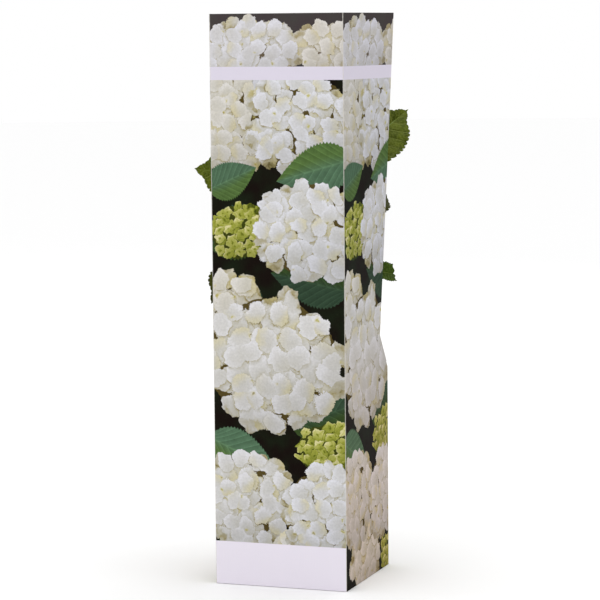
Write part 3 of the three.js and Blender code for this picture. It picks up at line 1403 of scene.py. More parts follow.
@dataclass
class Pot:
    """A round nursery pot, full of compost."""

    sides: int = 96
    wall: float = 1.1
    base_radius: float = 51.0
    rim_height: float = 12.0
    lip: float = 3.5
    steps: tuple[float, float] = (0.3, 0.62)
    ribs: int = 32
    rib_depth: float = 0.45
    rings: int = 46
    crumbs: int = 1100
    bark_from: float = 0.8
    coarse_from: float = 0.86
    grain_from: float = 0.97
    seed: int = 7

    def __post_init__(self) -> None:
        """Takes the pot's place and outer size from its node."""
        low, high = (Vector(corner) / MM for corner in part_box("nursery_pot"))
        self.floor, self.top = low.z, high.z
        self.rim_radius = high.x
        self.soil_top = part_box("compost")[1][2] / MM

    def radius(self, z: float) -> float:
        """Gives the wall's outer radius at a height above the pot's floor."""
        height = self.top - self.floor
        return self.base_radius + (self.rim_radius - self.lip - self.base_radius) * z / height

    def profile(self) -> list[tuple[float, float]]:
        """Draws the wall: a foot ring, two steps, a deep rim with a rolled lip, and the inside.

        Returns:
            Radius and height of each corner.
        """
        height, rim, foot = self.top - self.floor, self.rim_radius, self.radius(0)
        under = height - self.rim_height
        profile = [(0, 2.2), (foot - 7, 2.2), (foot - 6, 0), (foot - 1.4, 0), (foot, 1.6)]
        for step in self.steps:
            z = under * step
            wall = self.radius(z)
            profile += [(wall, z - 0.8), (wall + 0.9, z + 0.4), (wall + 0.9, z + 2.2), (wall + 0.3, z + 3.6)]
        wall = self.radius(under)
        profile += [(wall, under - 0.6), (rim - 1.4, under), (rim - 0.7, under + 1), (rim - 0.4, height - 3)]
        profile += [(rim, height - 2.2), (rim, height - 0.8), (rim - 0.8, height), (rim - 1.9, height - 0.3)]
        profile += [(rim - 2.4, height - 1.6), (rim - 2.6, under + 1.2), (wall - self.wall, under - 1.4)]
        profile += [(self.radius(3) - self.wall, 4.5), (foot - 4, 3.4), (0, 3.4)]
        return [(radius, self.floor + z) for radius, z in profile]

    def shell(self, finish: Material) -> Piece:
        """Makes the pot, with upright ribs moulded in its wall.

        Args:
            finish: Its plastic.

        Returns:
            The piece.
        """
        bm = spun(self.profile(), self.sides * 2)
        top = self.top - self.rim_height
        for vert in bm.verts:
            away = math.hypot(vert.co.x, vert.co.y)
            if away < self.base_radius - 1 or not self.floor + 4 < vert.co.z < top - 2:
                continue
            wave = math.cos(self.ribs * math.atan2(vert.co.y, vert.co.x))
            grown = 1 + self.rib_depth * smooth(wave) / away
            vert.co.x *= grown
            vert.co.y *= grown
        mark_sharp(bm, 50)
        return make_piece(bm, "pot", [finish], ("nursery_pot",))

    def soil_height(self, x: float, y: float) -> float:
        """Gives how high the compost stands at a place: lumpy, and sunk a little at the wall.

        Args:
            x, y: The place.

        Returns:
            The height.
        """
        coarse = noise.fractal(Vector((x, y, 3.0)) / 17, 1.0, 2.0, 4)
        fine = noise.fractal(Vector((x, y, 9.0)) / 4.5, 1.0, 2.0, 4)
        edge = smooth((math.hypot(x, y) - 44) / 18)
        return self.soil_top - 2.2 + 1.9 * coarse + 0.7 * fine - 2.5 * float(edge)

    def compost(self, finish: Material) -> Piece:
        """Makes the compost's lumpy body.

        Args:
            finish: The compost's material.

        Returns:
            The piece.
        """
        under = self.soil_top - self.floor
        wall = self.radius(under) - self.wall - 1.0
        low, foot = self.radius(4) - self.wall - 1.6, self.floor + 5
        top = [(wall * (1 - i / self.rings), self.soil_top) for i in range(self.rings + 1)]
        profile = [(0, foot), (low, foot), (wall - 0.6, self.soil_top - 5), *top]
        bm = spun(profile, self.sides * 2)
        for vert in bm.verts:
            if vert.co.z > self.soil_top - 1:
                vert.co.z = self.soil_height(vert.co.x, vert.co.y)
        mark_sharp(bm, 60)
        return make_piece(bm, "compost_body", [finish], ("compost",))

    def crumb(self, draw: Draws, size: float) -> Shape:
        """Makes one rough crumb of a size.

        Args:
            draw: The crumbs' draw.
            size: Its radius.

        Returns:
            The crumb.
        """
        bm = bmesh.new()
        bmesh.ops.create_icosphere(bm, subdivisions=1, radius=size)
        for vert in bm.verts:
            vert.co *= draw.between(0.62, 1.1)
        squash = Matrix.Diagonal((1, draw.between(0.4, 1), draw.between(0.35, 0.8), 1))
        spin = Matrix.Rotation(draw() * math.tau, 4, "Z")
        tilt = Matrix.Rotation(draw.between(-0.5, 0.5), 4, "X")
        bmesh.ops.transform(bm, matrix=spin @ tilt @ squash, verts=bm.verts)
        return bm

    def scatter(self, finishes: Sequence[Material]) -> Piece:
        """Scatters crumbs of peat, bark and a few white grains over the compost.

        Args:
            finishes: Peat, bark and white grain.

        Returns:
            The piece.
        """
        draw = Draws(self.seed)
        reach = self.radius(self.soil_top - self.floor) - self.wall - 3.5
        whole = bmesh.new()
        for _ in range(self.crumbs):
            kind = draw()
            away, turn = reach * math.sqrt(draw()), draw() * math.tau
            x, y = away * math.cos(turn), away * math.sin(turn)
            size = draw.between(0.5, 1.5) if kind < self.coarse_from else draw.between(1.2, 2.6)
            bm = self.crumb(draw, size)
            bmesh.ops.translate(bm, vec=(x, y, self.soil_height(x, y) + 0.2 * size), verts=bm.verts)
            for face in bm.faces:
                face.material_index = (kind >= self.bark_from) + (kind >= self.grain_from)
            add_shape(whole, bm)
        return make_piece(whole, "compost_crumbs", finishes)


# ---- how the plant grows


@dataclass(frozen=True)
class Cell:
    """The space of one leafy shoot: its side of the carton, its heights, its cane's way."""

    name: str
    side: int
    low: float
    high: float
    foot: tuple[float, float]
    tip: tuple[float, float]
    turn: float


CELLS = (
    Cell("left_low", -1, 196, 344, (30, 16), (36, 36), 62),
    Cell("right_low", 1, 196, 300, (30, 20), (34, 38), 118),
    Cell("left_middle", -1, 346, 478, (40, 4), (36, 26), 100),
    Cell("right_middle", 1, 302, 430, (38, 2), (36, 28), 80),
    Cell("left_top", -1, 480, 602, (24, -30), (26, 2), 70),
    Cell("right_top", 1, 432, 574, (34, -4), (30, 14), 112),
)


class Tint(IntEnum):
    """The leaf materials' numbers: four tints of upper face, the underside, the rib, a dark one."""

    OLIVE = 0
    FRESH = 1
    DEEP = 2
    MID = 3
    UNDER = 4
    RIB = 5
    DUSKY = 6


@dataclass(frozen=True)
class Wish:
    """How a leaf would like to stand: its directions in degrees and its sizes.

    `kept` is the share of its blade that is there, `fuller` how far the blade's middle swells
    past its usual edge, and `tip` how far its point is drawn out.
    """

    around: float
    rise: float
    length: float
    droop: float
    roll: float = 0.0
    petiole: float | None = None
    slenderness: float = 0.64
    kept: float = 1.0
    tint: Tint | None = None
    dark_under: bool = False
    fuller: float = 0.0
    tip: float = 1.8


REACHING: dict[str, tuple[tuple[float, Wish], ...]] = {
    "right_top": ((0.03, Wish(63, 30, 109, 5, 48, 38, tint=Tint.OLIVE, tip=3.4)),),
    "right_middle": (
        (0.95, Wish(74, 16, 73, 10, 42, 26, tint=Tint.DUSKY, dark_under=True, fuller=1.2)),
        (0.39, Wish(46, -9, 50, 5, 54, 44, 0.5, 0.62, tint=Tint.DEEP, dark_under=True)),
    ),
    "left_middle": ((0.95, Wish(150, -3, 92, -33, -70, 26, tint=Tint.OLIVE, fuller=2.4)),),
    "left_low": (
        (0.95, Wish(142, 16, 100, 70, 19, 36, tint=Tint.DUSKY, dark_under=True, fuller=1.9)),
    ),
}


class CaneLine:
    """The smooth line of one cane, from the compost to its shoot's tip."""

    RING = 17.0
    STEP = 57.0
    HEADROOM = 34.0
    FOOT_RADIUS = 4.2
    TIP_RADIUS = 1.5
    FLARE = 1.45
    FLARE_HEIGHT = 14.0
    GAP = 0.3

    def __init__(self, cell: Cell, index: int, soil_top: float) -> None:
        """Lays the line through the ring of feet and the cell's places.

        Args:
            cell: The shoot's cell.
            index: Its place in the ring.
            soil_top: How high the compost stands.
        """
        self.cell = cell
        self.soil_top = soil_top
        turn = math.radians(self.STEP * index)
        side = cell.side
        foot = side * self.RING * (0.6 + 0.4 * math.cos(turn))
        start = np.array((foot, self.RING * math.sin(turn), soil_top + self.GAP))
        end = np.array((side * cell.tip[0], cell.tip[1], cell.high - self.HEADROOM))
        rise = end[2] - start[2]
        lower = np.array((start[0] * 1.4, start[1] * 1.2, start[2] + rise * 0.3))
        upper = np.array((side * cell.foot[0], cell.foot[1], start[2] + rise * 0.7))
        self.knots = (start, lower, upper, end)
        self.split = self.share_at(cell.low)
        self.restart = self.split + self.GAP / self.length()

    def at(self, share: float | Array) -> Array:
        """Gives the place at a share of the line, or one for each share.

        Args:
            share: One share, or several.

        Returns:
            The place or places.
        """
        t = np.asarray(share, float)[..., None]
        a, b, c, d = self.knots
        return (1 - t) ** 3 * a + 3 * (1 - t) ** 2 * t * b + 3 * (1 - t) * t * t * c + t**3 * d

    def way(self, share: float | Array) -> Array:
        """Gives the line's direction at a share.

        Args:
            share: One share, or several.

        Returns:
            One unit vector for each.
        """
        low, high = np.clip(np.asarray(share) - 1e-4, 0, 1), np.clip(np.asarray(share) + 1e-4, 0, 1)
        step = self.at(high) - self.at(low)
        return step / np.linalg.norm(step, axis=-1, keepdims=True)

    def length(self) -> float:
        """Measures the line."""
        places = self.at(np.linspace(0, 1, 201))
        return float(np.linalg.norm(np.diff(places, axis=0), axis=1).sum())

    def share_at(self, z: float) -> float:
        """Finds how far along the line a height is reached.

        Args:
            z: The height.

        Returns:
            The share of the line.
        """
        low, high = 0.0, 1.0
        for _ in range(30):
            middle = (low + high) / 2
            if self.at(middle)[2] < z:
                low = middle
            else:
                high = middle
        return low

    def radius(self, share: float) -> float:
        """Gives the cane's radius, thickest in the flare at its foot.

        Args:
            share: The share of the line.

        Returns:
            The radius.
        """
        taper = self.FOOT_RADIUS + (self.TIP_RADIUS - self.FOOT_RADIUS) * share
        height = self.at(share)[2] - self.soil_top
        return taper * (1 + (self.FLARE - 1) * (1 - float(smooth(height / self.FLARE_HEIGHT))))

    def root(self, at: float) -> Array:
        """Gives a place on the leafy part, 0 at its foot and 1 at its tip."""
        return self.at(self.restart + (1 - self.restart) * at)


class Leaf:
    """A leaf on its stalk."""

    PETIOLE = 24.0
    PETIOLE_RADIUS = 1.3
    FULL = 98.0
    FOLD = math.radians(14)
    FOOT = 0.6
    TIP = 0.85
    TESTS = 14
    ACROSS = (-1, -0.67, -0.33, 0, 0.33, 0.67, 1)
    CROWDED = 21

    def __init__(self, root: Array, wish: Wish) -> None:
        """Sets the leaf on its root as its wish says.

        Args:
            root: Where its stalk leaves the stem.
            wish: How it stands.
        """
        turn, lift, roll = (math.radians(value) for value in (wish.around, wish.rise, wish.roll))
        ahead, rise = pointing(turn, lift), math.sin(lift)
        up = np.array((-math.cos(turn) * rise, -math.sin(turn) * rise, math.cos(lift)))
        petiole = wish.petiole or self.PETIOLE * wish.length / self.FULL
        self.root, self.ahead = root, ahead
        self.up = up * math.cos(roll) + np.cross(ahead, up) * math.sin(roll)
        self.across = np.cross(ahead, self.up)
        self.foot = root + ahead * petiole
        self.length, self.width = wish.length, wish.length * wish.slenderness
        self.droop, self.kept = math.radians(wish.droop), wish.kept
        self.tint, self.dark_under = wish.tint, wish.dark_under
        self.fuller, self.tip = wish.fuller, wish.tip

    def half_width(self, u: Array) -> Array:
        """Gives half the blade's width at a share of its length.

        Args:
            u: Shares of the whole leaf's length.

        Returns:
            Half the width at each.
        """
        widest = self.FOOT / (self.FOOT + self.TIP)
        full = widest**self.FOOT * (1 - widest) ** self.TIP
        share = 0.5 * u**self.FOOT * np.maximum(0, 1 - u) ** self.TIP / full
        return np.maximum(self.PETIOLE_RADIUS, self.width * share)

    def blade(
        self, u: Array, v: Array, lift: Array | float = 0.0, grow: Array | float = 0.0
    ) -> Array:
        """Gives places on the blade.

        Args:
            u: Share from foot to end.
            v: From one edge, -1, to the other, 1.
            lift: How far above the blade's middle surface.
            grow: How far past the edge line.

        Returns:
            One place for each.
        """
        u = np.asarray(u, float) * self.kept
        bend = self.droop * u
        along = self.length * np.sin(bend) / self.droop
        down = self.length * (1 - np.cos(bend)) / self.droop
        half = self.half_width(u) + grow
        rise = np.abs(v) * half * math.sin(self.FOLD) + lift
        return (
            self.foot
            + (along + rise * np.sin(bend))[..., None] * self.ahead
            + (rise * np.cos(bend) - down)[..., None] * self.up
            + (v * half * math.cos(self.FOLD))[..., None] * self.across
        )

    def tests(self) -> Array:
        """Gives the blade's places that its clearances are tested at, from foot to end.

        Returns:
            The places.
        """
        rows = np.arange(self.TESTS + 1) / self.TESTS
        u, v = np.meshgrid(rows, np.array(self.ACROSS, float), indexing="ij")
        return self.blade(u.ravel(), v.ravel())

    def stalk(self) -> Array:
        """Gives places along the stalk."""
        shares = np.array((0.3, 0.5, 0.7, 0.9))[:, None]
        return self.root + (self.foot - self.root) * shares


class Twig:
    """A short side twig, which bears its leaves at its tip."""

    def __init__(self, root: Array, around: float, rise: float, length: float) -> None:
        """Sets the twig on its root, by its directions in degrees and its length.

        Args:
            root: Where it leaves the stem.
            around: The way it points, round the cane.
            rise: How steeply it climbs.
            length: Its length.
        """
        self.root = root
        self.way = pointing(math.radians(around), math.radians(rise))
        self.tip = root + self.way * length
        self.leaves: list[Leaf] = []


@dataclass(frozen=True)
class Shoot:
    """A cane's line with the leaves and the side twigs of its shoot."""

    line: CaneLine
    leaves: list[Leaf]
    twigs: list[Twig]


@dataclass
class Growth:
    """The rule that the plant grows by: where each leaf settles."""

    carton: Carton
    soil_top: float
    seed: int = 20
    pairs: int = 5
    scatter: float = 16.0
    youngest: float = 0.42
    length: float = 98.0
    rise: float = 38.0
    droop: float = 62.0
    clearance: float = 2.2
    spacing: float = 7.0
    reach: float = 98.0
    narrowing: float = 0.4
    reach_back: float = 112.0
    seam: float = 1.0
    spots: int = 120
    sizes: tuple[float, ...] = (1, 0.84, 0.68, 0.54)
    raises: tuple[float, ...] = (0, 16, 32)
    turns: tuple[float, ...] = (0, 18, -18, 36, -36, 54, -54)
    wall_gap: float = 0.3
    twig_seed: int = 33
    twig_levels: int = 7
    twig_rise: tuple[float, float] = (25, 60)
    twig_length: tuple[float, float] = (12, 30)
    young_fan: tuple[float, ...] = (0, 62, -62)
    young_turns: tuple[float, ...] = (0, 24, -24)
    young_length: tuple[float, float] = (34, 62)
    young_droop: tuple[float, float] = (20, 60)
    young_petiole: tuple[float, float] = (5, 9)
    young_spacing: float = 4.6

    def in_cell(self, cell: Cell, places: Array) -> bool:
        """Tells whether all places lie in a cell.

        Args:
            cell: The cell.
            places: The places.

        Returns:
            Whether they do.
        """
        x = cell.side * places[:, 0]
        y, z = places[:, 1], places[:, 2]
        inside = (x >= self.seam) & (x <= self.reach - self.narrowing * y) & (y < self.reach_back)
        return bool((inside & (z > cell.low) & (z < cell.high)).all())

    def clear_of_boards(self, places: Array) -> bool:
        """Tells whether all places are well inside the boards or behind the flaps' edges.

        Args:
            places: The places.

        Returns:
            Whether they are.
        """
        box = self.carton
        x, y, z = places.T
        side = np.where(x < 0, -1, 1)
        opened = box.splay(side, z)
        out, back = side * x - box.half, y + box.half
        along = out * np.sin(opened) + back * np.cos(opened)
        beyond = out * np.cos(opened) - back * np.sin(opened)
        full = box.width - box.board - self.wall_gap
        narrowed = np.clip((z - box.rear_top) / (box.notch_top - box.rear_top), 0, 1)
        depth = full + (box.flap - full) * narrowed
        near_front = y < -box.half + box.board + self.clearance
        near_rear = (z < box.rear_top + self.clearance) & (y > box.half - box.board - self.clearance)
        near_side = (along <= depth + self.clearance) & (beyond >= -box.board - self.clearance)
        return not (near_front | near_rear | near_side).any()

    def fits(self, leaf: Leaf, cell: Cell, placed: list[Array], canes: Array, spacing: float) -> bool:
        """Tells whether a leaf keeps to its cell and clear of boards, canes and other leaves.

        Args:
            leaf: The leaf.
            cell: Its cell.
            placed: The shoot's other leaves' places.
            canes: Places along the canes that pass.
            spacing: How far the leaf keeps from the other leaves.

        Returns:
            Whether it fits.
        """
        blade = leaf.tests()
        whole = np.vstack((leaf.stalk(), blade))
        if not self.in_cell(cell, whole) or not self.clear_of_boards(whole):
            return False
        if not self.apart(whole, canes, CaneLine.FOOT_RADIUS + self.clearance):
            return False
        outer = blade[Leaf.CROWDED :]
        return all(self.apart(outer, other, spacing) for other in placed)

    @staticmethod
    def apart(places: Array, others: Array, distance: float) -> bool:
        """Tells whether two sets of places keep a distance."""
        gaps = ((places[:, None] - others[None]) ** 2).sum(-1)
        return bool(gaps.min() > distance * distance)

    def settle(
        self, root: Array, wish: Wish, cell: Cell, placed: list[Array], canes: Array
    ) -> Leaf | None:
        """Turns, raises and shortens a leaf in small steps until it fits, or gives it up.

        Args:
            root: Where its stalk leaves the stem.
            wish: How it would like to stand.
            cell: Its cell.
            placed: The shoot's other leaves' places.
            canes: Places along the canes that pass.

        Returns:
            The leaf, or None.
        """
        for size in self.sizes:
            for lift in self.raises:
                for turn in self.turns:
                    moved = Wish(wish.around + turn, wish.rise + lift, wish.length * size, wish.droop)
                    leaf = Leaf(root, moved)
                    if self.fits(leaf, cell, placed, canes, self.spacing):
                        return leaf
        return None

    def young(self, line: CaneLine, canes: Array, placed: list[Array], draw: Draws) -> list[Twig]:
        """Carries the rule on to finer twigs: each bears three young leaves, where they fit.

        Args:
            line: The shoot's line.
            canes: Places along the canes that pass.
            placed: The shoot's leaves' places, which grow by the young ones.
            draw: The young growth's draw.

        Returns:
            The twigs.
        """
        twigs = []
        for level in range(self.twig_levels):
            at = (level + 0.3 + 0.4 * draw()) / self.twig_levels
            for quarter in range(4):
                around = line.cell.turn + 45 + 90 * quarter + 35 * level + self.scatter * (draw() - 0.5)
                rise = draw.between(*self.twig_rise)
                length = draw.between(*self.twig_length) * (1.15 - at * 0.7)
                twig = Twig(line.root(at), around, rise, length)
                for spread in self.young_fan:
                    middle = 1 - abs(spread) / 250
                    wish = Wish(
                        around=around + spread,
                        rise=rise - abs(spread) * 0.35 + draw.between(-8, 8),
                        length=draw.between(*self.young_length) * (1.1 - 0.35 * at) * middle,
                        droop=draw.between(*self.young_droop),
                        petiole=draw.between(*self.young_petiole),
                    )
                    for turn in self.young_turns:
                        leaf = Leaf(twig.tip, replace(wish, around=wish.around + turn))
                        if self.fits(leaf, line.cell, placed, canes, self.young_spacing):
                            twig.leaves.append(leaf)
                            placed.append(leaf.tests()[Leaf.CROWDED :])
                            break
                if twig.leaves:
                    twigs.append(twig)
        return twigs

    def shoot(self, line: CaneLine, canes: Array, draw: Draws) -> tuple[list[Leaf], list[Array]]:
        """Grows one shoot's leaves: those that reach out, then pairs, each turned a quarter.

        Args:
            line: The shoot's line.
            canes: Places along the canes that pass.
            draw: The growth's draw.

        Returns:
            The leaves, and the places that they take up.
        """
        cell = line.cell
        leaves = [Leaf(line.root(at), wish) for at, wish in REACHING.get(cell.name, ())]
        placed = [leaf.tests()[Leaf.CROWDED :] for leaf in leaves]
        for pair in range(self.pairs):
            share = pair / (self.pairs - 1)
            length = self.length * (1 + (self.youngest - 1) * share**1.6)
            for half in (0, 180):
                wish = Wish(
                    around=cell.turn + 90 * pair + half + self.scatter * (draw() - 0.5),
                    rise=self.rise + self.scatter * (draw() - 0.5) + 22 * share,
                    length=length * (1 - 0.2 * draw()),
                    droop=self.droop * (0.7 + 0.5 * draw()),
                )
                leaf = self.settle(line.root(0.06 + 0.9 * share), wish, cell, placed, canes)
                if leaf:
                    leaves.append(leaf)
                    placed.append(leaf.tests()[Leaf.CROWDED :])
        return leaves, placed

    def grow(self) -> list[Shoot]:
        """Grows the whole plant.

        Returns:
            The shoots.
        """
        draw, finer = Draws(self.seed), Draws(self.twig_seed)
        lines = [CaneLine(cell, index, self.soil_top) for index, cell in enumerate(CELLS)]
        spots = []
        for line in lines:
            places = line.at(np.linspace(0, 1, self.spots + 1))
            spots.append(places[places[:, 2] < line.cell.low + self.clearance])
        grown = []
        for line in lines:
            others = np.vstack([places for other, places in zip(lines, spots) if other is not line])
            leaves, placed = self.shoot(line, others, draw)
            twigs = self.young(line, others, placed, finer)
            count = len(leaves), len(twigs), sum(len(twig.leaves) for twig in twigs)
            LOG.info("%s: %d leaves, %d twigs with %d young leaves", line.cell.name, *count)
            grown.append(Shoot(line, leaves, twigs))
        return grown


# ---- the plant's finishes


@dataclass(frozen=True)
class LeafFinish:
    """One tint of a leaf's face, with paler veins."""

    name: str
    blade: Colour
    deep: Colour
    vein: Colour
    veins: float = 8.0
    rough: float = 0.5

    def material(self) -> Material:
        """Makes the leaf's face, its pattern laid along the blade.

        Returns:
            The material.
        """
        g = Graph(self.name)
        across, along, _ = g.parts(g.attribute("blade"))
        out = abs(across)
        place = g.object_place()
        rib = abs(g.math("FRACT", along * self.veins + 0.5) - 0.5)
        width = 0.07 + 0.05 * (1.0 - out)
        lateral = (1.0 - g.ease(rib, width * 0.3, width)) * (1.0 - g.ease(out, 0.75, 1.0))
        middle = 1.0 - g.ease(out, 0.02, 0.07)
        near = 1.0 - g.ease(rib, 0.02, 0.26)
        patch = g.noise(place, 12.0, 4.0)
        net, _, _ = g.cells(place, 2.3, 1.0)
        colour = g.paint(g.ease(patch, 0.3, 0.72), self.blade, self.deep)
        colour = g.paint(near * 0.6, colour, self.deep)
        colour = g.paint(g.ease(net, 0.3, 0.75) * 0.28, colour, self.vein)
        colour = g.paint(g.math("MAXIMUM", lateral * 0.5, middle * 0.35), colour, self.vein)
        relief = g.bump(net, 0.3, g.bump(1.0 - lateral, 0.3))
        return g.surface(colour, self.rough + 0.12 * patch, relief, Specular_IOR_Level=0.05)


@dataclass(frozen=True)
class StemFinish:
    """A green shoot, or the light brown bark of a cane."""

    name: str
    base: Colour
    streak: Colour
    pore: Colour
    pores: float

    def material(self) -> Material:
        """Makes the stem's skin, with streaks along it and small pores.

        Returns:
            The material.
        """
        g = Graph(self.name)
        place = g.object_place()
        along = g.vector("MULTIPLY", place, (1.0, 1.0, 0.12))
        streak = g.noise(along, 1.1, 4.0, 0.65)
        spot, _, _ = g.cells(g.vector("MULTIPLY", place, (1.0, 1.0, 0.45)), 2.8, 1.0)
        pore = 1.0 - g.ease(spot, 0.1, 0.22)
        colour = g.paint(g.ease(streak, 0.3, 0.75), self.base, self.streak)
        colour = g.paint(pore * self.pores, colour, self.pore)
        return g.surface(colour, 0.72, g.bump(pore * self.pores, 0.25, g.bump(streak, 0.3)))


# ---- the plant


@dataclass
class Plant:
    """The hydrangea: six canes, each ending in a leafy shoot."""

    grown: list[Shoot]
    leaf_finishes: Sequence[Material]
    shoot_finish: Material
    bark_finish: Material
    seed: int = 11
    blade_thickness: float = 0.42
    tooth: float = 6.0
    fewest_teeth: int = 11
    tooth_depth: float = 2.3
    tooth_lean: float = 0.6
    cut_wave: float = 0.05
    tooth_rise: tuple[float, ...] = (0.0, 0.58, 0.96, 1.0)
    columns: tuple[float, ...] = (0.0, 0.05, 0.16, 0.34, 0.54, 0.74, 0.9, 1.0)
    rib: float = 1.0
    pinch: float = 0.36
    pinch_at: float = 0.89
    pinch_run: float = 0.08
    slant: float = 0.55
    pucker: float = 1.3
    ruffle: float = 1.3
    groove: float = 0.5
    groove_width: float = 0.06
    cane_step: float = 1.6
    bark_relief: float = 0.3
    joint_gap: float = 38.0
    joint_swell: float = 0.3

    def __post_init__(self) -> None:
        """Starts the draw for tints and ruffles."""
        self.draw = Draws(self.seed)

    def relief(self, leaf: Leaf, t: Array, v: Array, phase: float) -> Array:
        """Gives how far the blade's surface stands off its smooth form.

        Args:
            leaf: The leaf.
            t: The row, from foot to end.
            v: From edge to edge.
            phase: Where this leaf's ruffles start.

        Returns:
            The lift at each place.
        """
        out, size = np.abs(v), leaf.length / Leaf.FULL
        quilt = np.abs(np.sin(math.pi * t * LeafFinish.veins)) * out * (1 - out) * 4
        groove = np.exp(-((v / self.groove_width) ** 2))
        wave = np.sin(t * 13 + phase) * np.where(v > 0, 1.0, -0.7) + 0.6 * np.sin(t * 23 + phase * 3)
        envelope = np.sin(math.pi * np.clip(t, 0, 1)) ** 0.7
        lift = self.pucker * quilt - self.groove * groove + self.ruffle * wave * out**2.5
        return lift * envelope * size

    def outline(
        self, leaf: Leaf, row: Array, rows: int, column: Array, v: Array
    ) -> tuple[Array, Array, Array]:
        """Lays out a blade: its teeth, its pinch, its tip and the lines beside its rib.

        Args:
            leaf: The leaf.
            row: Each place's row, counted from the foot.
            rows: How many rows there are.
            column: Each place's column.
            v: From one edge, -1, to the other, 1.

        Returns:
            How far along and how far across each place lies, and how far it grows past the edge.
        """
        size, steps, t = leaf.length / Leaf.FULL, len(self.tooth_rise), row / rows
        u = t + self.slant * np.abs(v) * t * (1 - t)
        half = leaf.half_width(u * leaf.kept)
        edge = np.abs(v) > 0.99
        saw = np.array(self.tooth_rise)[row % steps]
        depth = self.tooth_depth * (0.35 + 0.65 * size) * np.minimum(1, half / 16)
        grow = np.where(edge, depth * (saw - 0.62), 0.0)
        u = u + np.where(edge & (row % steps == steps - 1) & (t < 0.97), self.tooth_lean / rows, 0.0)
        tip = (row == rows) & (leaf.kept == 1)
        if leaf.kept < 1:
            u = np.where(row == rows, 1.0 + self.cut_wave * np.sin(column * 5.1), t)
        u = u + tip * leaf.tip / leaf.length
        pinched = 1 - self.pinch * np.exp(-(((u * leaf.kept - self.pinch_at) / self.pinch_run) ** 2))
        beside = np.abs(np.abs(v) - self.columns[1]) < 1e-6
        narrow = np.minimum(self.rib * size * (1 - 0.7 * t) / half, 2 * self.columns[1])
        spread = np.where(beside, np.sign(v) * narrow, v * pinched) * np.where(tip, 0.2, 1.0)
        return u, spread, grow + edge * leaf.fuller * np.sin(math.pi * t)

    def blade(self, leaf: Leaf, tint: Tint) -> Shape:
        """Makes one blade: a toothed, quilted sheet with rows that follow its side veins.

        Args:
            leaf: The leaf.
            tint: The material of its upper face.

        Returns:
            The blade, a thin closed shape.
        """
        size = leaf.length / Leaf.FULL
        teeth = max(self.fewest_teeth, round(leaf.length * leaf.kept / self.tooth))
        rows = teeth * len(self.tooth_rise)
        sides = np.array([-v for v in reversed(self.columns[1:])] + list(self.columns))
        bm = bmesh.new()
        bmesh.ops.create_grid(bm, x_segments=len(sides) - 1, y_segments=rows, size=0.5)
        bmesh.ops.solidify(bm, geom=list(bm.faces), thickness=0.1)
        grid = np.array([vert.co[:] for vert in bm.verts])
        column = np.rint((grid[:, 0] + 0.5) * (len(sides) - 1)).astype(int)
        row = np.rint((grid[:, 1] + 0.5) * rows).astype(int)
        under = np.abs(grid[:, 2]) > 0.05
        t, v = row / rows, sides[column]
        u, spread, grow = self.outline(leaf, row, rows, column, v)
        lift = self.relief(leaf, t, v, self.draw() * math.tau)
        lift = lift - under * self.blade_thickness * (0.6 + 0.4 * size)
        places = leaf.blade(u, spread, lift, grow)
        layer = bm.verts.layers.float_vector.new("blade")
        for vert, place, side, along, low in zip(bm.verts, places, v, t, under):
            vert[layer] = (side, along, float(low))
            vert.co = place
        bmesh.ops.recalc_face_normals(bm, faces=bm.faces)
        below = tint if leaf.dark_under else Tint.UNDER
        for face in bm.faces:
            marks = [vert[layer] for vert in face.verts]
            on_rib = all(abs(mark.x) < self.columns[1] * 1.01 for mark in marks) and marks[0].y < 0.86
            face.material_index = Tint.RIB if on_rib else tint
            if all(mark.z for mark in marks):
                face.material_index = below
        return bm

    def tube(
        self, places: Array, ways: Array, radii: Sequence[float], sides: int, closed: float = 0.6
    ) -> Shape:
        """Makes a round stem along a line.

        Args:
            places: The line's places.
            ways: Its direction at each.
            radii: The stem's radius at each.
            sides: How many sides it has.
            closed: How far its ends are domed, as a share of their radius.

        Returns:
            The stem.
        """
        last = len(places) - 1
        profile = [(0.0, 0.0), *((1.0, float(i)) for i in range(last + 1)), (0.0, float(last))]
        bm = spun(profile, sides)
        for vert in bm.verts:
            index = min(last, round(vert.co.z))
            way = Vector(ways[index])
            across = Vector((0, 1, 0)).cross(way).normalized()
            over = way.cross(across)
            centre = Vector(places[index])
            if math.hypot(vert.co.x, vert.co.y) < 0.5:
                dome = closed * radii[index] * (1 if index else -1)
                vert.co = centre + way * dome
            else:
                vert.co = centre + (across * vert.co.x + over * vert.co.y) * radii[index]
        bmesh.ops.recalc_face_normals(bm, faces=bm.faces)
        return bm

    def stalk(self, leaf: Leaf) -> Shape:
        """Makes a leaf's stalk, thickest where it clasps the stem, with the rib it becomes.

        Args:
            leaf: The leaf.

        Returns:
            The stalk and its rib.
        """
        run = (leaf.foot - leaf.root) / max(1e-6, float(np.linalg.norm(leaf.foot - leaf.root)))
        petiole = np.linspace(leaf.root, leaf.foot, 9)[:-1]
        shares = np.linspace(0.0, 0.8, 13)
        rib = leaf.blade(shares, np.zeros_like(shares), -0.55)
        places = np.vstack((petiole, rib))
        ways = np.gradient(places, axis=0)
        ways /= np.linalg.norm(ways, axis=1, keepdims=True)
        ways[0] = run
        size = 0.55 + 0.45 * leaf.length / Leaf.FULL
        clasp = np.linspace(1.9, 1.25, 8)
        thin = np.linspace(1.15, 0.4, 13)
        return self.tube(places, ways, list(np.concatenate((clasp, thin)) * size), 8)

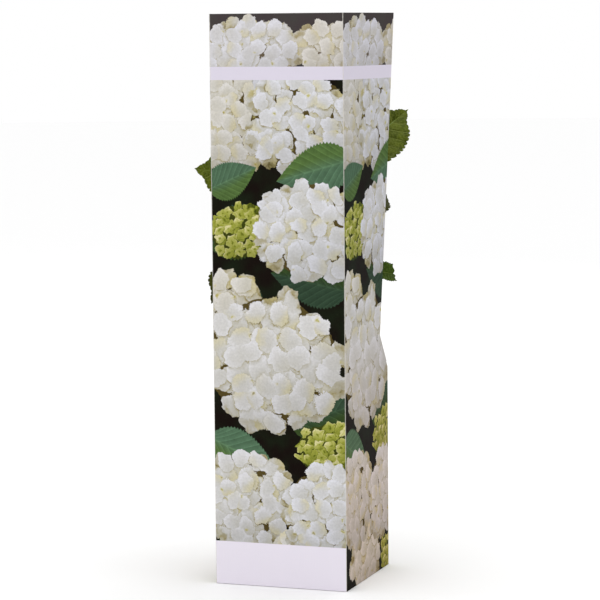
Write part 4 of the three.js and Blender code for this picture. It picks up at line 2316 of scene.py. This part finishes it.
    def bud(self, line: CaneLine) -> Shape:
        """Makes the pointed bud at a shoot's tip.

        Args:
            line: The shoot's line.

        Returns:
            The bud.
        """
        profile = [(0.0, 0.0), (2.0, 0.4), (2.9, 2.6), (2.6, 5.4), (1.5, 8.6), (0.5, 11.0), (0.0, 11.6)]
        bm = spun(profile, 12)
        turn = Vector((0, 0, 1)).rotation_difference(Vector(line.way(1.0))).to_matrix().to_4x4()
        bmesh.ops.transform(bm, matrix=Matrix.Translation(Vector(line.at(1.0))) @ turn, verts=bm.verts)
        return bm

    def twig(self, twig: Twig) -> Shape:
        """Makes a side twig, swollen a little at its foot and its tip.

        Args:
            twig: The twig as it grew.

        Returns:
            The twig.
        """
        shares = np.linspace(0, 1, 7)
        places = twig.root + (twig.tip - twig.root) * shares[:, None]
        radii = [1.25 + 0.5 * math.exp(-share * 9) + 0.25 * smooth((share - 0.8) * 5) for share in shares]
        return self.tube(places, np.repeat(twig.way[None], len(shares), axis=0), radii, 8)

    def shoot(self, shoot: Shoot) -> None:
        """Makes one shoot: a piece for its leaves and one for its green stem and stalks.

        Args:
            shoot: The shoot as it grew.
        """
        line, name = shoot.line, shoot.line.cell.name
        blades, stems = bmesh.new(), bmesh.new()
        blades.verts.layers.float_vector.new("blade")
        young = [leaf for twig in shoot.twigs for leaf in twig.leaves]
        for leaf in (*shoot.leaves, *young):
            drawn = Tint(int(self.draw() * Tint.UNDER))
            add_shape(blades, self.blade(leaf, drawn if leaf.tint is None else leaf.tint))
            add_shape(stems, self.stalk(leaf))
        for twig in shoot.twigs:
            add_shape(stems, self.twig(twig))
        shares = np.linspace(line.restart, 1.0, 25)
        radii = [line.radius(share) for share in shares]
        add_shape(stems, self.tube(line.at(shares), line.way(shares), radii, 12))
        add_shape(stems, self.bud(line))
        mark_sharp(blades, 70)
        mark_sharp(stems, 70)
        make_piece(blades, f"leaves_{name}", self.leaf_finishes, (f"foliage_{name}",))
        make_piece(stems, f"shoot_{name}", [self.shoot_finish], (f"foliage_{name}",))

    def cane_radius(self, line: CaneLine, share: float, spin: float) -> float:
        """Gives a cane's radius with the swelling of its joints.

        Args:
            line: The cane's line.
            share: The share of the line.
            spin: Where its joints start, 0 to 1.

        Returns:
            The radius.
        """
        height = line.at(share)[2] - line.soil_top
        joint = abs((height / self.joint_gap + spin) % 1.0 - 0.5) * self.joint_gap
        return line.radius(share) * (1 + self.joint_swell * math.exp(-((joint / 2.6) ** 2)))

    def canes(self) -> None:
        """Makes the woody canes, with joints and an uneven bark."""
        whole = bmesh.new()
        for line in (shoot.line for shoot in self.grown):
            spin = self.draw()
            steps = int((line.at(line.split)[2] - line.soil_top) / self.cane_step)
            shares = np.linspace(0.0, line.split, steps)
            ways = line.way(shares)
            ways[0] = (0, 0, 1)
            radii = [self.cane_radius(line, share, spin) for share in shares]
            bm = self.tube(line.at(shares), ways, radii, 20, closed=0.0)
            for vert in bm.verts:
                if vert.co.z > line.soil_top + 1:
                    rough = noise.noise(Vector((vert.co.x * 0.9, vert.co.y * 0.9, vert.co.z * 0.12)))
                    vert.co.x += rough * self.bark_relief
                    vert.co.y += rough * self.bark_relief
            add_shape(whole, bm)
        mark_sharp(whole, 70)
        nodes = [f"cane_{shoot.line.cell.name}" for shoot in self.grown]
        make_piece(whole, "canes", [self.bark_finish], nodes)

    def build(self) -> None:
        """Makes the canes and every shoot."""
        self.canes()
        for shoot in self.grown:
            self.shoot(shoot)


# ---- the studio


@dataclass(frozen=True)
class Lamp:
    """A soft square lamp: where it hangs and points, its power in watts and its width."""

    name: str
    place: Point
    target: Point
    power: float
    width: float = 1.3

    def hang(self) -> None:
        """Hangs the lamp."""
        data = bpy.data.lights.new(self.name, "AREA")
        data.shape, data.size, data.energy = "SQUARE", self.width, self.power
        lamp = add_object(self.name, data)
        lamp.location = self.place
        way = Vector(self.target) - Vector(self.place)
        lamp.rotation_euler = way.to_track_quat("-Z", "Y").to_euler()


LAMPS = (
    Lamp("key", (-0.9, -2.6, 1.2), (0, 0, 0.3), 10.6),
    Lamp("rear", (0.6, 2.8, 1.6), (0, 0, 0.4), 12),
)


@dataclass
class Studio:
    """A pale floor, soft light and the camera."""

    focal: float = 152.9
    sensor: float = 36.0
    place: Point = (0.9206, -2.6125, 0.5996)
    heading: float = 19.446
    pitch: float = -6.098
    roll: float = -0.491
    sky: float = 0.45
    backdrop: float = 1.0
    overhead_power: float = 2.15

    def camera(self) -> None:
        """Sets up the camera."""
        data = bpy.data.cameras.new("camera")
        data.lens, data.sensor_width = self.focal, self.sensor
        data.clip_start, data.clip_end = 0.05, 50.0
        heading, pitch, roll = (math.radians(v) for v in (self.heading, self.pitch, self.roll))
        right = Vector((math.cos(heading), math.sin(heading), 0))
        level = math.cos(pitch)
        ahead = Vector((-math.sin(heading) * level, math.cos(heading) * level, math.sin(pitch)))
        up = right.cross(ahead)
        across = right * math.cos(roll) + up * math.sin(roll)
        over = up * math.cos(roll) - right * math.sin(roll)
        turn = Matrix((across, over, -ahead)).transposed().to_4x4()
        camera = add_object("camera", data)
        camera.matrix_world = Matrix.Translation(self.place) @ turn
        bpy.context.scene.camera = camera

    def floor(self) -> None:
        """Lays the pale floor."""
        bm = bmesh.new()
        bmesh.ops.create_circle(bm, cap_ends=True, segments=96, radius=14.0)
        mesh = bpy.data.meshes.new("floor")
        bm.to_mesh(mesh)
        bm.free()
        g = Graph("floor_paint")
        grain = g.noise(g.object_place(), 60.0, 3.0)
        colour = g.paint(grain * 0.3, (0.9, 0.9, 0.9), (0.86, 0.86, 0.86))
        mesh.materials.append(g.surface(colour, 0.9))
        floor = add_object("floor", mesh)
        floor.location.z = -0.0004

    def world(self) -> None:
        """Fills the scene with even light, before a white backdrop."""
        world = bpy.data.worlds.new("sky")
        world.use_nodes = True
        tree = world.node_tree
        tree.nodes.clear()
        rays = tree.nodes.new("ShaderNodeLightPath")
        strength = tree.nodes.new("ShaderNodeMapRange")
        strength.inputs["To Min"].default_value = self.sky
        strength.inputs["To Max"].default_value = self.backdrop
        sky = tree.nodes.new("ShaderNodeBackground")
        sky.inputs[0].default_value = (1, 1, 1, 1)
        output = tree.nodes.new("ShaderNodeOutputWorld")
        tree.links.new(rays.outputs["Is Camera Ray"], strength.inputs["Value"])
        tree.links.new(strength.outputs[0], sky.inputs[1])
        tree.links.new(sky.outputs[0], output.inputs[0])
        bpy.context.scene.world = world
        bpy.context.scene.view_settings.view_transform = "Standard"

    def overhead(self) -> None:
        """Lights the floor evenly from straight above."""
        data = bpy.data.lights.new("overhead", "SUN")
        data.energy, data.angle = self.overhead_power, math.radians(60)
        add_object("overhead", data)

    def build(self) -> None:
        """Sets up the floor, the light and the camera."""
        self.floor()
        self.world()
        self.overhead()
        for lamp in LAMPS:
            lamp.hang()
        self.camera()


# ---- putting it together


def leaf_tints() -> list[Material]:
    """Makes the leaf materials, in the order of their numbers in Tint.

    Returns:
        The materials.
    """
    tints = (
        LeafFinish("leaf_olive", linear(90, 101, 20), linear(55, 65, 7), linear(126, 136, 62)),
        LeafFinish("leaf_fresh", linear(88, 108, 28), linear(68, 86, 20), linear(124, 140, 68)),
        LeafFinish("leaf_deep", linear(62, 84, 19), linear(46, 65, 13), linear(98, 118, 54)),
        LeafFinish("leaf_mid", linear(78, 90, 22), linear(60, 72, 16), linear(114, 124, 60)),
        LeafFinish("leaf_under", linear(98, 112, 56), linear(84, 98, 46), linear(132, 142, 88), rough=0.62),
    )
    dusky = LeafFinish("leaf_dusky", linear(64, 67, 12), linear(52, 55, 8), linear(88, 92, 40))
    rib = Graph("leaf_rib").surface(linear(116, 130, 58), 0.6, Specular_IOR_Level=0.05)
    return [*(tint.material() for tint in tints), rib, dusky.material()]


def main() -> None:
    """Builds every piece, then the studio."""
    logging.basicConfig(level=logging.INFO, format="%(name)s: %(message)s")
    kraft, edge = KraftFinish().material(), CutEdgeFinish().material()
    carton = Carton()
    carton.sleeve([PrintFinish().material(), kraft, edge])
    carton.base([kraft, edge])
    pot = Pot()
    pot.shell(PotFinish().material())
    peat = CompostFinish("peat", linear(38, 28, 22), linear(74, 56, 42)).material()
    bark = CompostFinish("bark_bits", linear(84, 58, 36), linear(128, 94, 60)).material()
    grain = CompostFinish("white_grain", linear(206, 202, 192), linear(232, 230, 224)).material()
    pot.compost(peat)
    pot.scatter([peat, bark, grain])
    skin = StemFinish(
        "shoot_skin", linear(120, 138, 66), linear(92, 116, 46), linear(150, 120, 80), pores=0.3
    )
    cane_bark = StemFinish(
        "cane_bark", linear(146, 122, 84), linear(104, 82, 52), linear(190, 168, 130), pores=0.7
    )
    grown = Growth(carton, pot.soil_top).grow()
    Plant(grown, leaf_tints(), skin.material(), cane_bark.material()).build()
    Studio().build()


if __name__ == "__main__":
    main()
